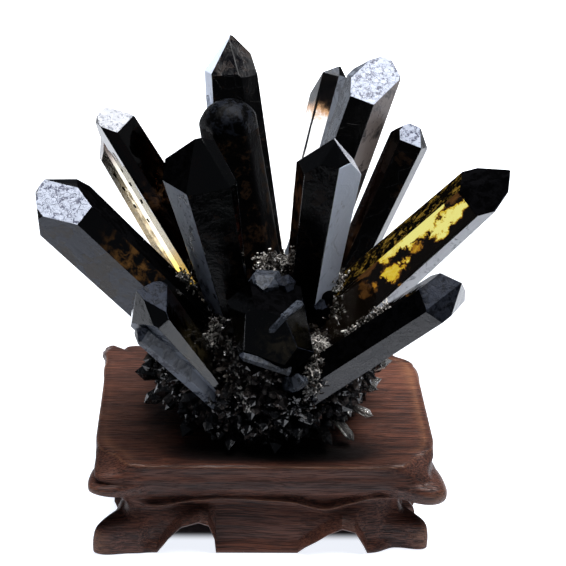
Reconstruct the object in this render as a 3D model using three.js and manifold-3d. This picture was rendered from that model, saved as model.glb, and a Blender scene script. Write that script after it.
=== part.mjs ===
// Morion quartz cluster on a carved wooden stand.
//
// Millimetres, +Z up, +X to the right and -Y to the front. The origin lies on the table under the middle of
// the whole object.

import * as THREE from 'three';
import { ConvexGeometry } from 'three/addons/geometries/ConvexGeometry.js';
import { mergeVertices } from 'three/addons/utils/BufferGeometryUtils.js';
import Module from 'manifold-3d';

const wasm = await Module();
wasm.setup();

// ---------------------------------------------------------------- driving dimensions

const CLEARANCE = 0.3; // gap kept between two pieces that touch

// Carved stand.
const STAND_TOP = 36.8;
const HALF_WIDTH = 58; // of the body, before the carved profile is added
const HALF_DEPTH = 38.5;
const CORNER = 12; // length of each side taken by a corner
const WALL = 8; // thickness of the skirt round the hollow underside
const CEILING = 20; // height of the hollow's ceiling
const APRON = 18; // height at which the feet and arches begin

// Carved profile from the rim of the top down to the sole of the feet.
// [height, overhang along the sides, height at the corners, overhang at the corners, corner squareness]
const PROFILE = [
  [36.8, -1.4, 36.8, -4.6, 2.0],
  [36.1, -0.2, 34.9, -2.0, 2.2],
  [34.4, 0.6, 33.2, 1.2, 2.6],
  [31.6, 1.3, 31.2, 3.6, 3.4],
  [28.2, 1.7, 27.8, 4.4, 3.8],
  [24.8, 1.3, 24.4, 3.2, 3.6],
  [22.2, 0.2, 22.2, -0.4, 3.0],
  [19.4, -0.2, 19.6, -3.2, 2.8],
  [16.2, 0.4, 16.2, -3.4, 2.8],
  [12.8, 1.3, 13.2, -0.2, 3.0],
  [9.4, 2.0, 10.8, 2.6, 3.4],
  [5.0, 2.6, 6.0, 3.6, 3.8],
  [1.0, 2.7, 1.0, 3.6, 3.8],
  [0.0, 2.0, 0.0, 2.8, 3.6],
];

// Arches cut in the skirt, as [distance along the side, height] pairs.
const LONG_ARCHES = [
  [-38.5, 0], [-34.5, 6], [-30, 11], [-24, 13], [-20.5, 11.5], [-18.4, 6], [-17.8, 0],
  [11, 0], [14, 2.8], [17.4, 5], [21.4, 8], [26.4, 10.4], [31, 9], [34.2, 3.4], [35.8, 0],
];
const SHORT_ARCH = [[-17, 0], [-14, 6], [-8, 10.4], [0, 11.6], [8, 10.4], [14, 6], [17, 0]];

// Druse: the crust of small crystals that carries the large ones.
const MOUND = { centre: [-1.5, 1.5, 60], radii: [37, 35, 30] };
const MOUND_FLAT = STAND_TOP + CLEARANCE; // height of the flat patch it rests on
const END_TILT = THREE.MathUtils.degToRad(51.8); // from a crystal's axis to the normal of an end face
const SMALL = { count: 120, radius: 2.2, length: 6.5 };

// Longer points that stand out round the foot of the druse, as [foot, tip, radius].
const RIM_CRYSTALS = [
  [[-34, -3, 53], [-46, -5, 52.5], 2.6],
  [[-32, -9, 50], [-41.5, -12, 43.5], 2.2],
  [[33, -3, 52], [45, 0, 55], 2.2],
  [[30, -9, 51], [40, -6, 51], 2],
  [[18, -15, 50], [29, -28, 39], 1.8],
  [[22, -14, 50], [36, -22, 45], 1.6],
  [[-11, -18, 49], [-14, -35, 39.5], 2],
  [[2, -19, 49], [2, -35, 38.5], 2.2],
];

const FRONT_RIGHT_TRIM = 4; // less overhang below the waist at the front right corner

// Large crystals. root and tip are the ends of the c-axis, spin turns the faces about it, sides are the six
// prism faces' distances from it half way up, ends are the six end faces' set-backs from the tip, and taper is
// the lean of the prism faces towards the tip, in degrees. A dome takes the place of end faces that have melted
// into a rounded top of that height.
const CRYSTALS = [
  {
    name: 'crystal_tall_back', // the tallest, standing up behind the middle
    root: [-4.5, 21.5, 71.5],
    tip: [-15.5, 40, 167],
    spin: 13,
    sides: [8.5, 10.5, 11.5, 10.5, 11, 11.5],
    ends: [1.2, 0.5, 1, 3.5, 3.5, 4],
    taper: 2.5,
  },
  {
    name: 'crystal_domed', // in front of it, with a melted round top
    root: [-3.5, 0.5, 80],
    tip: [-17, 8.5, 151],
    spin: 34,
    sides: [9, 9, 9, 9, 9, 9],
    dome: 6.5,
    taper: 0.5,
  },
  {
    name: 'crystal_centre_left', // thick and black, left of the middle
    root: [-13.5, -12.5, 80],
    tip: [-29, -21, 155],
    spin: 33,
    sides: [5.5, 10, 11, 8, 9, 12],
    ends: [1, 7, 0, 10, 9.5, 5.5],
    taper: -4.5,
  },
  {
    name: 'crystal_centre_right', // black, right of the middle
    root: [13, -9.5, 80],
    tip: [18.5, -26, 155.5],
    spin: 14,
    sides: [9.5, 8.5, 8.5, 9, 7.5, 7],
    ends: [5, 5, 5.5, 3.5, 0, 0.5],
    taper: -2,
  },
  {
    name: 'crystal_upper_right', // clear-edged, upper right
    root: [12, 11, 79],
    tip: [39.5, 24, 166.5],
    spin: 13,
    sides: [7, 8, 8.5, 9, 8.5, 7],
    ends: [0, 0.5, 1, 3, 9, 1],
    taper: 0,
  },
  {
    name: 'crystal_left_pair', // two parallel ones grown together
    root: [-16.5, 4.5, 78.5],
    tip: [-59.5, 0.5, 155],
    spin: 25,
    sides: [7.5, 7, 7.5, 6, 7.5, 5.5],
    ends: [4.5, 4.5, 5, 1, 0, 6.5],
    taper: 1,
  },
  {
    name: 'crystal_left_pair',
    root: [-23.5, 12.5, 72.5],
    tip: [-60.5, 14, 139],
    spin: 42,
    sides: [5, 5, 5, 5.5, 5, 5],
    ends: [2.5, 0.5, 0, 4.5, 2.5, 2],
    taper: 1,
  },
  {
    name: 'crystal_upper_right_back', // its slimmer neighbour behind
    root: [2.5, 24.5, 64],
    tip: [25.5, 50.5, 155.5],
    spin: 13,
    sides: [6, 6, 6, 5.5, 6, 5],
    ends: [5, 1.5, 9, 0, 0, 1],
    taper: -1,
  },
  {
    name: 'crystal_right', // slim, right of the upper pair
    root: [20.5, 14, 63],
    tip: [51.5, 17, 144.5],
    spin: 27,
    sides: [6, 6, 5.5, 5.5, 5, 6],
    ends: [3, 6, 2.5, 0, 3, 2],
    taper: -1,
  },
  {
    name: 'crystal_amber', // leans right, clear with amber inside
    root: [26, -7.5, 75],
    tip: [79, -26, 142.5],
    spin: 51,
    sides: [4, 10, 11, 13, 11.5, 3],
    ends: [2.5, 1.5, 4, 2, 0, 5],
    taper: 1.5,
  },
  {
    name: 'crystal_lower_left', // short, low at the left
    root: [-16.5, -24, 57],
    tip: [-46.5, -42.5, 107],
    spin: 55,
    sides: [7.5, 7.5, 8, 6.5, 9, 5.5],
    ends: [0, 4.5, 4, 3.5, 1.5, 4],
    taper: -3,
  },
  {
    name: 'crystal_far_left', // the large one leaning far left
    root: [-25, -12.5, 72],
    tip: [-81, -19, 134],
    spin: 8,
    sides: [9, 14.5, 11.5, 10.5, 9, 11.5],
    ends: [2.5, 2.5, 6, 3.5, 0, 5.5],
    taper: -0.5,
  },
  {
    name: 'crystal_lower_right', // leans out low at the right
    root: [8.5, -24.5, 56.5],
    tip: [61, -55.5, 116.5],
    spin: 31,
    sides: [10, 9.5, 7, 9, 9, 6.5],
    ends: [0, 4.5, 0, 3.5, 4, 4.5],
    taper: 0.5,
  },
  {
    name: 'crystal_front', // stubby, its end to the front
    root: [0, -18.5, 79],
    tip: [-1.5, -55.5, 97],
    spin: 11,
    sides: [12.3, 15.8, 16.3, 12.3, 13.3, 15.8],
    ends: [4.5, 4.5, 0, 2.5, 3, 0.5],
    taper: 3.5,
  },
];

// ---------------------------------------------------------------- finishes

const MORION = new THREE.MeshStandardMaterial({ color: 0x14110f, roughness: 0.07, metalness: 0 });
const DRUSE = new THREE.MeshStandardMaterial({ color: 0x3a332d, roughness: 0.35, metalness: 0 });
const WOOD = new THREE.MeshStandardMaterial({ color: 0x4a2c22, roughness: 0.5, metalness: 0 });

// ---------------------------------------------------------------- solids

const UP = new THREE.Vector3(0, 0, 1);

function toSolid(geometry) {
  const bare = geometry.clone();
  bare.deleteAttribute('normal');
  bare.deleteAttribute('uv');
  const merged = mergeVertices(bare, 1e-4);
  const vertProperties = new Float32Array(merged.attributes.position.array);
  const triVerts = new Uint32Array(merged.index.array);
  return new wasm.Manifold(new wasm.Mesh({ numProp: 3, vertProperties, triVerts }));
}

function toGeometry(solid) {
  const mesh = solid.getMesh();
  const geometry = new THREE.BufferGeometry();
  geometry.setAttribute('position', new THREE.BufferAttribute(new Float32Array(mesh.vertProperties), 3));
  geometry.setIndex(new THREE.BufferAttribute(new Uint32Array(mesh.triVerts), 1));
  geometry.computeVertexNormals();
  return geometry;
}

// A repeatable scatter value between 0 and 1.
function scatter(n) {
  const s = Math.sin(n * 127.1 + 11.7) * 43758.5453;
  return s - Math.floor(s);
}

// ---------------------------------------------------------------- quartz crystals

// Turns a crystal's own frame (root at zero, c-axis up) into the cluster's.
function frameOf(crystal) {
  const root = new THREE.Vector3(...crystal.root);
  const axis = new THREE.Vector3(...crystal.tip).sub(root).normalize();
  const turn = new THREE.Quaternion().setFromUnitVectors(UP, axis);
  return new THREE.Matrix4().compose(root, turn, new THREE.Vector3(1, 1, 1));
}

function lengthOf(crystal) {
  return new THREE.Vector3(...crystal.root).distanceTo(new THREE.Vector3(...crystal.tip));
}

function slanted(turn, tilt) {
  const level = new THREE.Vector3(Math.cos(turn), Math.sin(turn), 0);
  return level.multiplyScalar(Math.sin(tilt)).addScaledVector(UP, Math.cos(tilt));
}

// Six prism faces, six end faces (or a melted dome) and the broken root, each moved out by grow.
function facesOf(crystal, grow) {
  const length = lengthOf(crystal);
  const faces = [];
  const add = (normal, point) => {
    const plane = new THREE.Plane().setFromNormalAndCoplanarPoint(normal, point);
    plane.constant -= grow;
    faces.push(plane);
  };
  for (let i = 0; i < 6; i += 1) {
    const turn = THREE.MathUtils.degToRad(crystal.spin + 60 * i);
    const middle = slanted(turn, Math.PI / 2).multiplyScalar(crystal.sides[i]);
    middle.z = length / 2;
    add(slanted(turn, THREE.MathUtils.degToRad(90 - crystal.taper)), middle);
    if (!crystal.dome) {
      add(slanted(turn, END_TILT), new THREE.Vector3(0, 0, length - crystal.ends[i]));
    }
  }
  if (crystal.dome) {
    const radius = Math.max(...crystal.sides) * 1.06;
    for (const tilt of [0, 18, 36, 54, 72]) {
      const t = THREE.MathUtils.degToRad(tilt);
      const reach = Math.hypot(radius * Math.sin(t), crystal.dome * Math.cos(t));
      for (let i = 0; i < (tilt ? 12 : 1); i += 1) {
        const normal = slanted(THREE.MathUtils.degToRad(30 * i), t);
        const centre = new THREE.Vector3(0, 0, length - crystal.dome);
        add(normal, centre.addScaledVector(normal, reach));
      }
    }
  }
  add(new THREE.Vector3(0, 0, -1), new THREE.Vector3());
  return faces;
}

// The corners of a convex body, where three of its faces meet and no other face cuts them off.
function cornersOf(faces) {
  const corners = [];
  const taken = new Set();
  for (let a = 0; a < faces.length; a += 1) {
    for (let b = a + 1; b < faces.length; b += 1) {
      const line = new THREE.Vector3().crossVectors(faces[a].normal, faces[b].normal);
      for (let c = b + 1; c < faces.length; c += 1) {
        const spread = line.dot(faces[c].normal);
        if (Math.abs(spread) < 1e-4) {
          continue;
        }
        const corner = line.clone().multiplyScalar(-faces[c].constant);
        const ca = new THREE.Vector3().crossVectors(faces[c].normal, faces[a].normal);
        const bc = new THREE.Vector3().crossVectors(faces[b].normal, faces[c].normal);
        corner.addScaledVector(ca, -faces[b].constant).addScaledVector(bc, -faces[a].constant);
        corner.divideScalar(spread);
        const key = corner.toArray().map((v) => v.toFixed(2)).join();
        if (!taken.has(key) && faces.every((face) => face.distanceToPoint(corner) < 1e-3)) {
          taken.add(key);
          corners.push(corner);
        }
      }
    }
  }
  return corners;
}

function crystalSolid(crystal, grow = 0) {
  const geometry = new ConvexGeometry(cornersOf(facesOf(crystal, grow)));
  return toSolid(geometry.applyMatrix4(frameOf(crystal)));
}

// ---------------------------------------------------------------- druse

function ellipsoidPoint(direction, inset) {
  const radii = new THREE.Vector3(...MOUND.radii).subScalar(inset);
  return direction.clone().multiply(radii).add(new THREE.Vector3(...MOUND.centre));
}

function moundSolid() {
  const geometry = new THREE.IcosahedronGeometry(1, 6);
  geometry.deleteAttribute('normal');
  geometry.deleteAttribute('uv');
  const position = geometry.attributes.position;
  const point = new THREE.Vector3();
  for (let i = 0; i < position.count; i += 1) {
    point.fromBufferAttribute(position, i);
    const swell = Math.sin(5 * point.x + 2) * Math.sin(4 * point.y) + Math.sin(6 * point.z + 3 * point.x);
    const moved = ellipsoidPoint(point, 1.2 - swell);
    position.setXYZ(i, moved.x, moved.y, moved.z);
  }
  return toSolid(geometry);
}

// One small six-sided crystal from its buried foot to its tip.
function smallCrystal(foot, direction, radius, length) {
  const profile = [
    new THREE.Vector2(0, -3),
    new THREE.Vector2(radius * 0.8, -3),
    new THREE.Vector2(radius, length - radius * 1.5),
    new THREE.Vector2(0, length),
  ];
  const geometry = new THREE.LatheGeometry(profile, 6);
  const turn = new THREE.Quaternion().setFromUnitVectors(new THREE.Vector3(0, 1, 0), direction);
  geometry.applyQuaternion(turn).translate(foot.x, foot.y, foot.z);
  return toSolid(geometry);
}

function clearOfLargeCrystals(point, margin) {
  return CRYSTALS.every((crystal) => {
    const axis = new THREE.Line3(new THREE.Vector3(...crystal.root), new THREE.Vector3(...crystal.tip));
    const nearest = axis.closestPointToPoint(point, true, new THREE.Vector3());
    return nearest.distanceTo(point) > Math.max(...crystal.sides) + margin;
  });
}

function druseSolid() {
  let solid = moundSolid();
  for (let i = 0; i < SMALL.count; i += 1) {
    const height = 1 - (1.62 * (i + 0.5)) / SMALL.count;
    const turn = i * 2.39996;
    const level = Math.sqrt(1 - height * height);
    const direction = new THREE.Vector3(level * Math.cos(turn), level * Math.sin(turn), height);
    const foot = ellipsoidPoint(direction, 1);
    const radius = SMALL.radius * (0.7 + 0.6 * scatter(i));
    const length = SMALL.length * (0.6 + 0.8 * scatter(i + 500));
    if (foot.z > MOUND_FLAT + 2 && clearOfLargeCrystals(foot, radius + 1.5)) {
      direction.x += 0.5 * (scatter(i + 900) - 0.5);
      direction.y += 0.5 * (scatter(i + 1300) - 0.5);
      solid = solid.add(smallCrystal(foot, direction.normalize(), radius, length));
    }
  }
  for (const [foot, tip, radius] of RIM_CRYSTALS) {
    const start = new THREE.Vector3(...foot);
    const along = new THREE.Vector3(...tip).sub(start);
    const length = along.length();
    solid = solid.add(smallCrystal(start, along.normalize(), radius, length));
  }
  for (const crystal of CRYSTALS) {
    solid = solid.subtract(crystalSolid(crystal, CLEARANCE));
  }
  const below = new THREE.BoxGeometry(200, 200, 100).translate(0, 0, MOUND_FLAT - 50);
  return solid.subtract(toSolid(below));
}

// ---------------------------------------------------------------- carved stand

function archHeight(pairs, along) {
  for (let i = 1; i < pairs.length; i += 1) {
    const [x0, z0] = pairs[i - 1];
    const [x1, z1] = pairs[i];
    if (along >= x0 && along <= x1) {
      return z0 + ((z1 - z0) * (along - x0)) / (x1 - x0);
    }
  }
  return 0;
}

// Stations round the outline: along and out are measured on one side, walking anticlockwise.
function stationsRound() {
  const stations = [];
  for (let side = 0; side < 4; side += 1) {
    const long = side % 2 === 0;
    const half = (long ? HALF_WIDTH : HALF_DEPTH) - CORNER;
    const arches = long ? LONG_ARCHES : SHORT_ARCH;
    const places = long ? [-half, -42, -6, 40, half] : [-half, -22, 22, half];
    const alongs = [...places, ...arches.map((pair) => pair[0])].sort((a, b) => a - b);
    for (const along of alongs) {
      const gap = half - Math.abs(along);
      const corner = Math.exp(-((gap / 5) ** 2));
      const trim = side === 0 && along > 0 ? corner : 0;
      stations.push({ side, half, along, arch: archHeight(arches, along), corner, trim, angle: 0 });
    }
    for (let i = 1; i < 5; i += 1) {
      const angle = (Math.PI / 2) * (i / 5);
      stations.push({ side, half, along: half, arch: 0, corner: 1, trim: side === 0 ? 1 : 0, angle });
    }
  }
  return stations;
}

function stationPoint(station, overhang, height, squareness) {
  const power = 2 / squareness;
  const reach = CORNER + overhang;
  const depth = station.side % 2 === 0 ? HALF_DEPTH : HALF_WIDTH;
  const along = station.along + reach * Math.sin(station.angle) ** power;
  const out = depth - CORNER + reach * Math.cos(station.angle) ** power;
  const point = new THREE.Vector3(along, -out, height);
  return point.applyAxisAngle(UP, (station.side * Math.PI) / 2);
}

function standGeometry() {
  const stations = stationsRound();
  const rings = PROFILE.map(([height, overhang, cornerHeight, cornerOverhang, squareness]) =>
    stations.map((station) => {
      const z = THREE.MathUtils.lerp(height, cornerHeight, station.corner);
      const low = z < APRON;
      const lifted = low ? station.arch + (z * (APRON - station.arch)) / APRON : z;
      const trim = z < APRON + 3 ? station.trim * FRONT_RIGHT_TRIM : 0;
      const out = THREE.MathUtils.lerp(overhang, cornerOverhang, station.corner) - trim;
      return stationPoint(station, out, lifted, squareness);
    }));
  rings.push(stations.map((station) => stationPoint(station, -WALL, station.arch, 2.6)));
  rings.push(stations.map((station) => stationPoint(station, -WALL - 1, CEILING, 2.6)));
  const points = [new THREE.Vector3(0, 0, STAND_TOP), ...rings.flat(), new THREE.Vector3(0, 0, CEILING)];
  const count = stations.length;
  const last = points.length - 1;
  const index = [];
  for (let i = 0; i < count; i += 1) {
    const next = (i + 1) % count;
    index.push(0, 1 + i, 1 + next);
    for (let ring = 0; ring < rings.length - 1; ring += 1) {
      const upper = 1 + ring * count;
      const lower = upper + count;
      index.push(upper + i, lower + i, lower + next, upper + i, lower + next, upper + next);
    }
    const inner = last - count;
    index.push(last, inner + next, inner + i);
  }
  const geometry = new THREE.BufferGeometry().setFromPoints(points);
  geometry.setIndex(index);
  geometry.computeVertexNormals();
  return geometry;
}

// ---------------------------------------------------------------- assembly

function named(name, geometry, material) {
  const mesh = new THREE.Mesh(geometry, material);
  mesh.name = name;
  return mesh;
}

// Crystals that share a name have grown into each other and are one solid. Where two others crowd each other
// near the root, the later one in the list has stopped against the earlier one.
function crystalMesh(name) {
  const members = CRYSTALS.filter((crystal) => crystal.name === name);
  let solid = members.map((crystal) => crystalSolid(crystal)).reduce((all, one) => all.add(one));
  for (const earlier of CRYSTALS.slice(0, CRYSTALS.indexOf(members[0]))) {
    solid = solid.subtract(crystalSolid(earlier, CLEARANCE));
  }
  const frame = frameOf(members[0]);
  const geometry = toGeometry(solid).applyMatrix4(frame.clone().invert());
  const mesh = named(name, geometry, MORION);
  mesh.applyMatrix4(frame);
  return mesh;
}

const object = new THREE.Group();
object.add(named('wooden_stand', standGeometry(), WOOD));
object.add(named('druse_matrix', toGeometry(druseSolid()), DRUSE));
for (const name of new Set(CRYSTALS.map((crystal) => crystal.name))) {
  object.add(crystalMesh(name));
}

const bounds = new THREE.Box3().setFromObject(object, true);
const middle = bounds.getCenter(new THREE.Vector3());
object.position.set(-middle.x, -middle.y, -bounds.min.z);

export default object;
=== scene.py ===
"""Morion quartz cluster on a carved wooden stand, dressed around the working model.

Every piece is made in metres in the working model's own frame: +Z up, -Y to the front, the origin on the
table under the middle of the whole object.
"""

import math

import bmesh
import bpy
import numpy as np
from bpy.props import FloatProperty, FloatVectorProperty, IntProperty, PointerProperty
from mathutils import Matrix


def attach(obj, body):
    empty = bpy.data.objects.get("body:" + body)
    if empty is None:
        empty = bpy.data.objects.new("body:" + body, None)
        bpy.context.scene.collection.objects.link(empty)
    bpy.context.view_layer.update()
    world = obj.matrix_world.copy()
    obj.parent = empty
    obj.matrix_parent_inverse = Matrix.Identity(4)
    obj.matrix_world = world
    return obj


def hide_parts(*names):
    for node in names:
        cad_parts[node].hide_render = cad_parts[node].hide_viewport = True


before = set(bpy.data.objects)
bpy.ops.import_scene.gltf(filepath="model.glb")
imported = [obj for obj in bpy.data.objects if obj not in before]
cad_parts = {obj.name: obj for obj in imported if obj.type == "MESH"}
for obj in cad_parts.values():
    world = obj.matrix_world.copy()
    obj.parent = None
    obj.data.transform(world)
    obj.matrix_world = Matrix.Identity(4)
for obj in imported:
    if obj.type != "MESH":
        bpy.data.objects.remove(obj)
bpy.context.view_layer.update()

bl_info = {
    "name": "Morion Quartz Cluster",
    "version": (1, 0, 0),
    "blender": (4, 5, 0),
    "location": "3D View > Sidebar > Quartz",
    "description": "Smoky quartz crystals on a druse, on a carved dark wood stand",
    "category": "Object",
}

MM = 0.001
SHIFT = np.array([0.869, 2.883, 0.0])  # from the middle of the stand to the frame's origin, in mm


# ---------------------------------------------------------------- numbers shared by the pieces


def place(x, y, z):
    """A point given in mm from the middle of the stand, in metres in the frame."""
    return (np.array([x, y, z], float) + SHIFT) * MM


def ramp(value, low, high):
    """0 up to low, 1 from high on and straight between them; low may be the greater of the two."""
    return np.clip((value - low) / (high - low), 0, 1)


def ease(share):
    """A share from 0 to 1 with a soft start and end."""
    return share * share * (3 - 2 * share)


def hump(at, middle, width):
    """A bell: 1 at the middle and 1/e a width away from it."""
    return np.exp(-(((at - middle) / width) ** 2))


def swell(at, amount, middle, width):
    """A bell of its own height."""
    return amount * hump(at, middle, width)


def value_noise(points, cell, seed):
    """Random heights at the corners of a lattice of cubes, blended by smooth steps. From -1 to 1."""
    scaled = np.asarray(points, float) / cell
    corner = np.floor(scaled).astype(np.int64)
    part = ease(scaled - corner)
    total = np.zeros(scaled.shape[:-1])
    for k in range(8):
        step = np.array([k & 1, (k >> 1) & 1, (k >> 2) & 1])
        node = corner + step
        code = node[..., 0] * 73856093 ^ node[..., 1] * 19349663 ^ node[..., 2] * 83492791 ^ seed * 2654435761
        code = (code ^ (code >> 13)) * 1274126177 & 0x7FFFFFFF
        value = ((code >> 7) & 0xFFFF) / 32767.5 - 1
        total += value * np.prod(np.where(step == 1, part, 1 - part), axis=-1)
    return total


def linked_object(name, data):
    thing = bpy.data.objects.new(name, data)
    bpy.context.scene.collection.objects.link(thing)
    return thing


def new_mesh(name, points, quads, triangles=(), smooth=True):
    """A mesh object from arrays: points (n, 3), quads (m, 4) and triangles (k, 3) of point numbers."""
    parts = [(np.asarray(faces, np.int32), n) for faces, n in ((quads, 4), (triangles, 3)) if len(faces)]
    loops = np.concatenate([faces.ravel() for faces, n in parts])
    totals = np.concatenate([np.full(len(faces), n, np.int32) for faces, n in parts])
    mesh = bpy.data.meshes.new(name)
    mesh.vertices.add(len(points))
    mesh.vertices.foreach_set("co", np.asarray(points, np.float32).ravel())
    mesh.loops.add(len(loops))
    mesh.loops.foreach_set("vertex_index", loops)
    mesh.polygons.add(len(totals))
    mesh.polygons.foreach_set("loop_start", np.concatenate([[0], np.cumsum(totals)[:-1]]).astype(np.int32))
    mesh.update(calc_edges=True)
    mesh.validate()
    mesh.polygons.foreach_set("use_smooth", np.full(len(mesh.polygons), smooth))
    return linked_object(name, mesh)


def closed_skin(name, rings, first, last, inside_out=False):
    """A closed mesh from an array of rings (rows, columns, 3), with the point first before them and last after."""
    rows, columns = rings.shape[:2]
    i, j = np.meshgrid(np.arange(rows - 1), np.arange(columns), indexing="ij")
    here, right = i * columns + j, i * columns + (j + 1) % columns
    quads = np.stack([here, here + columns, right + columns, right], -1).reshape(-1, 4)
    ring = np.arange(columns)
    ahead = (ring + 1) % columns
    pole, end = np.full(columns, rows * columns), (rows - 1) * columns
    caps = np.concatenate([np.stack([pole, ring, ahead], -1), np.stack([pole + 1, end + ahead, end + ring], -1)])
    if inside_out:
        quads, caps = quads[:, ::-1], caps[:, [0, 2, 1]]
    return new_mesh(name, np.concatenate([rings.reshape(-1, 3), [first, last]]), quads, caps)


def cut_object(name, work):
    """A flat-faced object from a bmesh, which is used up."""
    mesh = bpy.data.meshes.new(name)
    work.to_mesh(mesh)
    work.free()
    mesh.polygons.foreach_set("use_smooth", np.full(len(mesh.polygons), False))
    return linked_object(name, mesh)


def set_attribute(piece, name, values):
    """Stores one number for each point of the piece, for its material to read."""
    layer = piece.data.attributes.new(name, "FLOAT", "POINT")
    layer.data.foreach_set("value", np.asarray(values, np.float32).ravel())


def finish_piece(piece, material, replaced=None):
    """Gives a finished piece its material, tells the frame that it rides on the root and hides the node it stands
    for.
    """
    piece.data.materials.append(material)
    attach(piece, "root")
    if replaced:
        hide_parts(replaced)


# ---------------------------------------------------------------- node helpers


class Graph:
    """A node tree with short calls for adding nodes. A value is a number, a tuple or another node's output."""

    def __init__(self, tree):
        self.tree = tree

    def feed(self, socket, value):
        if isinstance(value, bpy.types.NodeSocket):
            self.tree.links.new(value, socket)
        else:
            socket.default_value = value

    def set(self, node, **values):
        """Feeds a node's inputs; a label's spaces are written as underscores."""
        for label, value in values.items():
            self.feed(node.inputs[label.replace("_", " ")], value)

    def add(self, kind, inputs=None, **settings):
        node = self.tree.nodes.new(kind)
        for key, value in settings.items():
            setattr(node, key, value)
        for key, value in (inputs or {}).items():
            self.feed(node.inputs[key], value)
        return node

    def math(self, operation, *values):
        return self.add("ShaderNodeMath", dict(enumerate(values)), operation=operation).outputs[0]

    def plus(self, a, b):
        return self.math("ADD", a, b)

    def minus(self, a, b):
        return self.math("SUBTRACT", a, b)

    def times(self, a, b):
        return self.math("MULTIPLY", a, b)

    def over(self, a, b):
        return self.math("DIVIDE", a, b)

    def rest(self, share):
        """What is left of 1."""
        return self.minus(1.0, share)

    def swing(self, noise, amount):
        """A noise from 0 to 1 moved to lie about 0 and made amount wide."""
        return self.times(self.minus(noise, 0.5), amount)

    def vector(self, operation, *values):
        node = self.add("ShaderNodeVectorMath", dict(enumerate(values)), operation=operation)
        return node.outputs["Value"] if operation in ("DOT_PRODUCT", "LENGTH") else node.outputs["Vector"]

    def scaled(self, vector, factor):
        return self.add("ShaderNodeVectorMath", {0: vector, "Scale": factor}, operation="SCALE").outputs[0]

    def stretched(self, vector, factors):
        return self.vector("MULTIPLY", vector, factors)

    def streaked(self, vector, axis, share):
        """The vector without a share of its part along the axis, which draws a noise out along that axis."""
        along = self.times(self.vector("DOT_PRODUCT", vector, axis), share)
        return self.vector("SUBTRACT", vector, self.scaled(axis, along))

    def mix(self, factor, a, b):
        node = self.add("ShaderNodeMix", data_type="RGBA")
        sockets = {socket.identifier: socket for socket in (*node.inputs, *node.outputs)}
        for key, value in (("Factor_Float", factor), ("A_Color", a), ("B_Color", b)):
            self.feed(sockets[key], value)
        return sockets["Result_Color"]

    def step(self, value, low, high):
        """0 below low, 1 above high and a smooth step between."""
        return self.add("ShaderNodeMapRange", {"Value": value, "From Min": low, "From Max": high},
                        interpolation_type="SMOOTHSTEP").outputs["Result"]

    def noise(self, vector, scale, detail=3.0, roughness=0.5, distortion=0.0):
        return self.add("ShaderNodeTexNoise", {
            "Vector": vector, "Scale": scale, "Detail": detail, "Roughness": roughness, "Distortion": distortion,
        }).outputs["Fac"]

    def cells(self, vector, scale, **settings):
        return self.add("ShaderNodeTexVoronoi", {"Vector": vector, "Scale": scale}, **settings).outputs

    def parts(self, colour):
        """Red, green and blue of a colour: three random numbers where the colour is a cell's."""
        return self.add("ShaderNodeSeparateColor", {"Color": colour}).outputs


ZERO, UP = (0.0, 0.0, 0.0), (0.0, 0.0, 1.0)
SOCKETS = {1: "NodeSocketFloat", 3: "NodeSocketVector", 4: "NodeSocketColor"}


def new_group(name, **inputs):
    """A shader node group whose inputs' kinds follow from their defaults: a number, a point or a colour.

    Returns its graph, its inputs and a finisher that takes the group's results by their labels.
    """
    tree = bpy.data.node_groups.new(name, "ShaderNodeTree")
    for label, default in inputs.items():
        kind = SOCKETS[np.size(default)]
        socket = tree.interface.new_socket(label.replace("_", " "), in_out="INPUT", socket_type=kind)
        socket.default_value = default
    graph = Graph(tree)
    given = graph.add("NodeGroupInput").outputs

    def close(**results):
        for label in results:
            kind = SOCKETS[4 if label == "Colour" else 1]
            tree.interface.new_socket(label.replace("_", " "), in_out="OUTPUT", socket_type=kind)
        graph.set(graph.add("NodeGroupOutput"), **results)

    return graph, given, close


def use_group(graph, name, **values):
    """Places a node group in a material and returns its outputs."""
    node = graph.add("ShaderNodeGroup", node_tree=bpy.data.node_groups[name])
    graph.set(node, **values)
    return node.outputs


def new_material(name):
    """A material with its graph, its shader and the place on the piece."""
    material = bpy.data.materials.new(name)
    material.use_nodes = True
    graph = Graph(material.node_tree)
    return (material, graph, material.node_tree.nodes["Principled BSDF"],
            graph.add("ShaderNodeTexCoord").outputs["Object"])


def add_bump(graph, shader, height, distance, strength=1.0):
    bump = graph.add("ShaderNodeBump", {"Height": height, "Distance": distance, "Strength": strength})
    graph.set(shader, Normal=bump.outputs["Normal"])


# ---------------------------------------------------------------- shared effects


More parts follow.
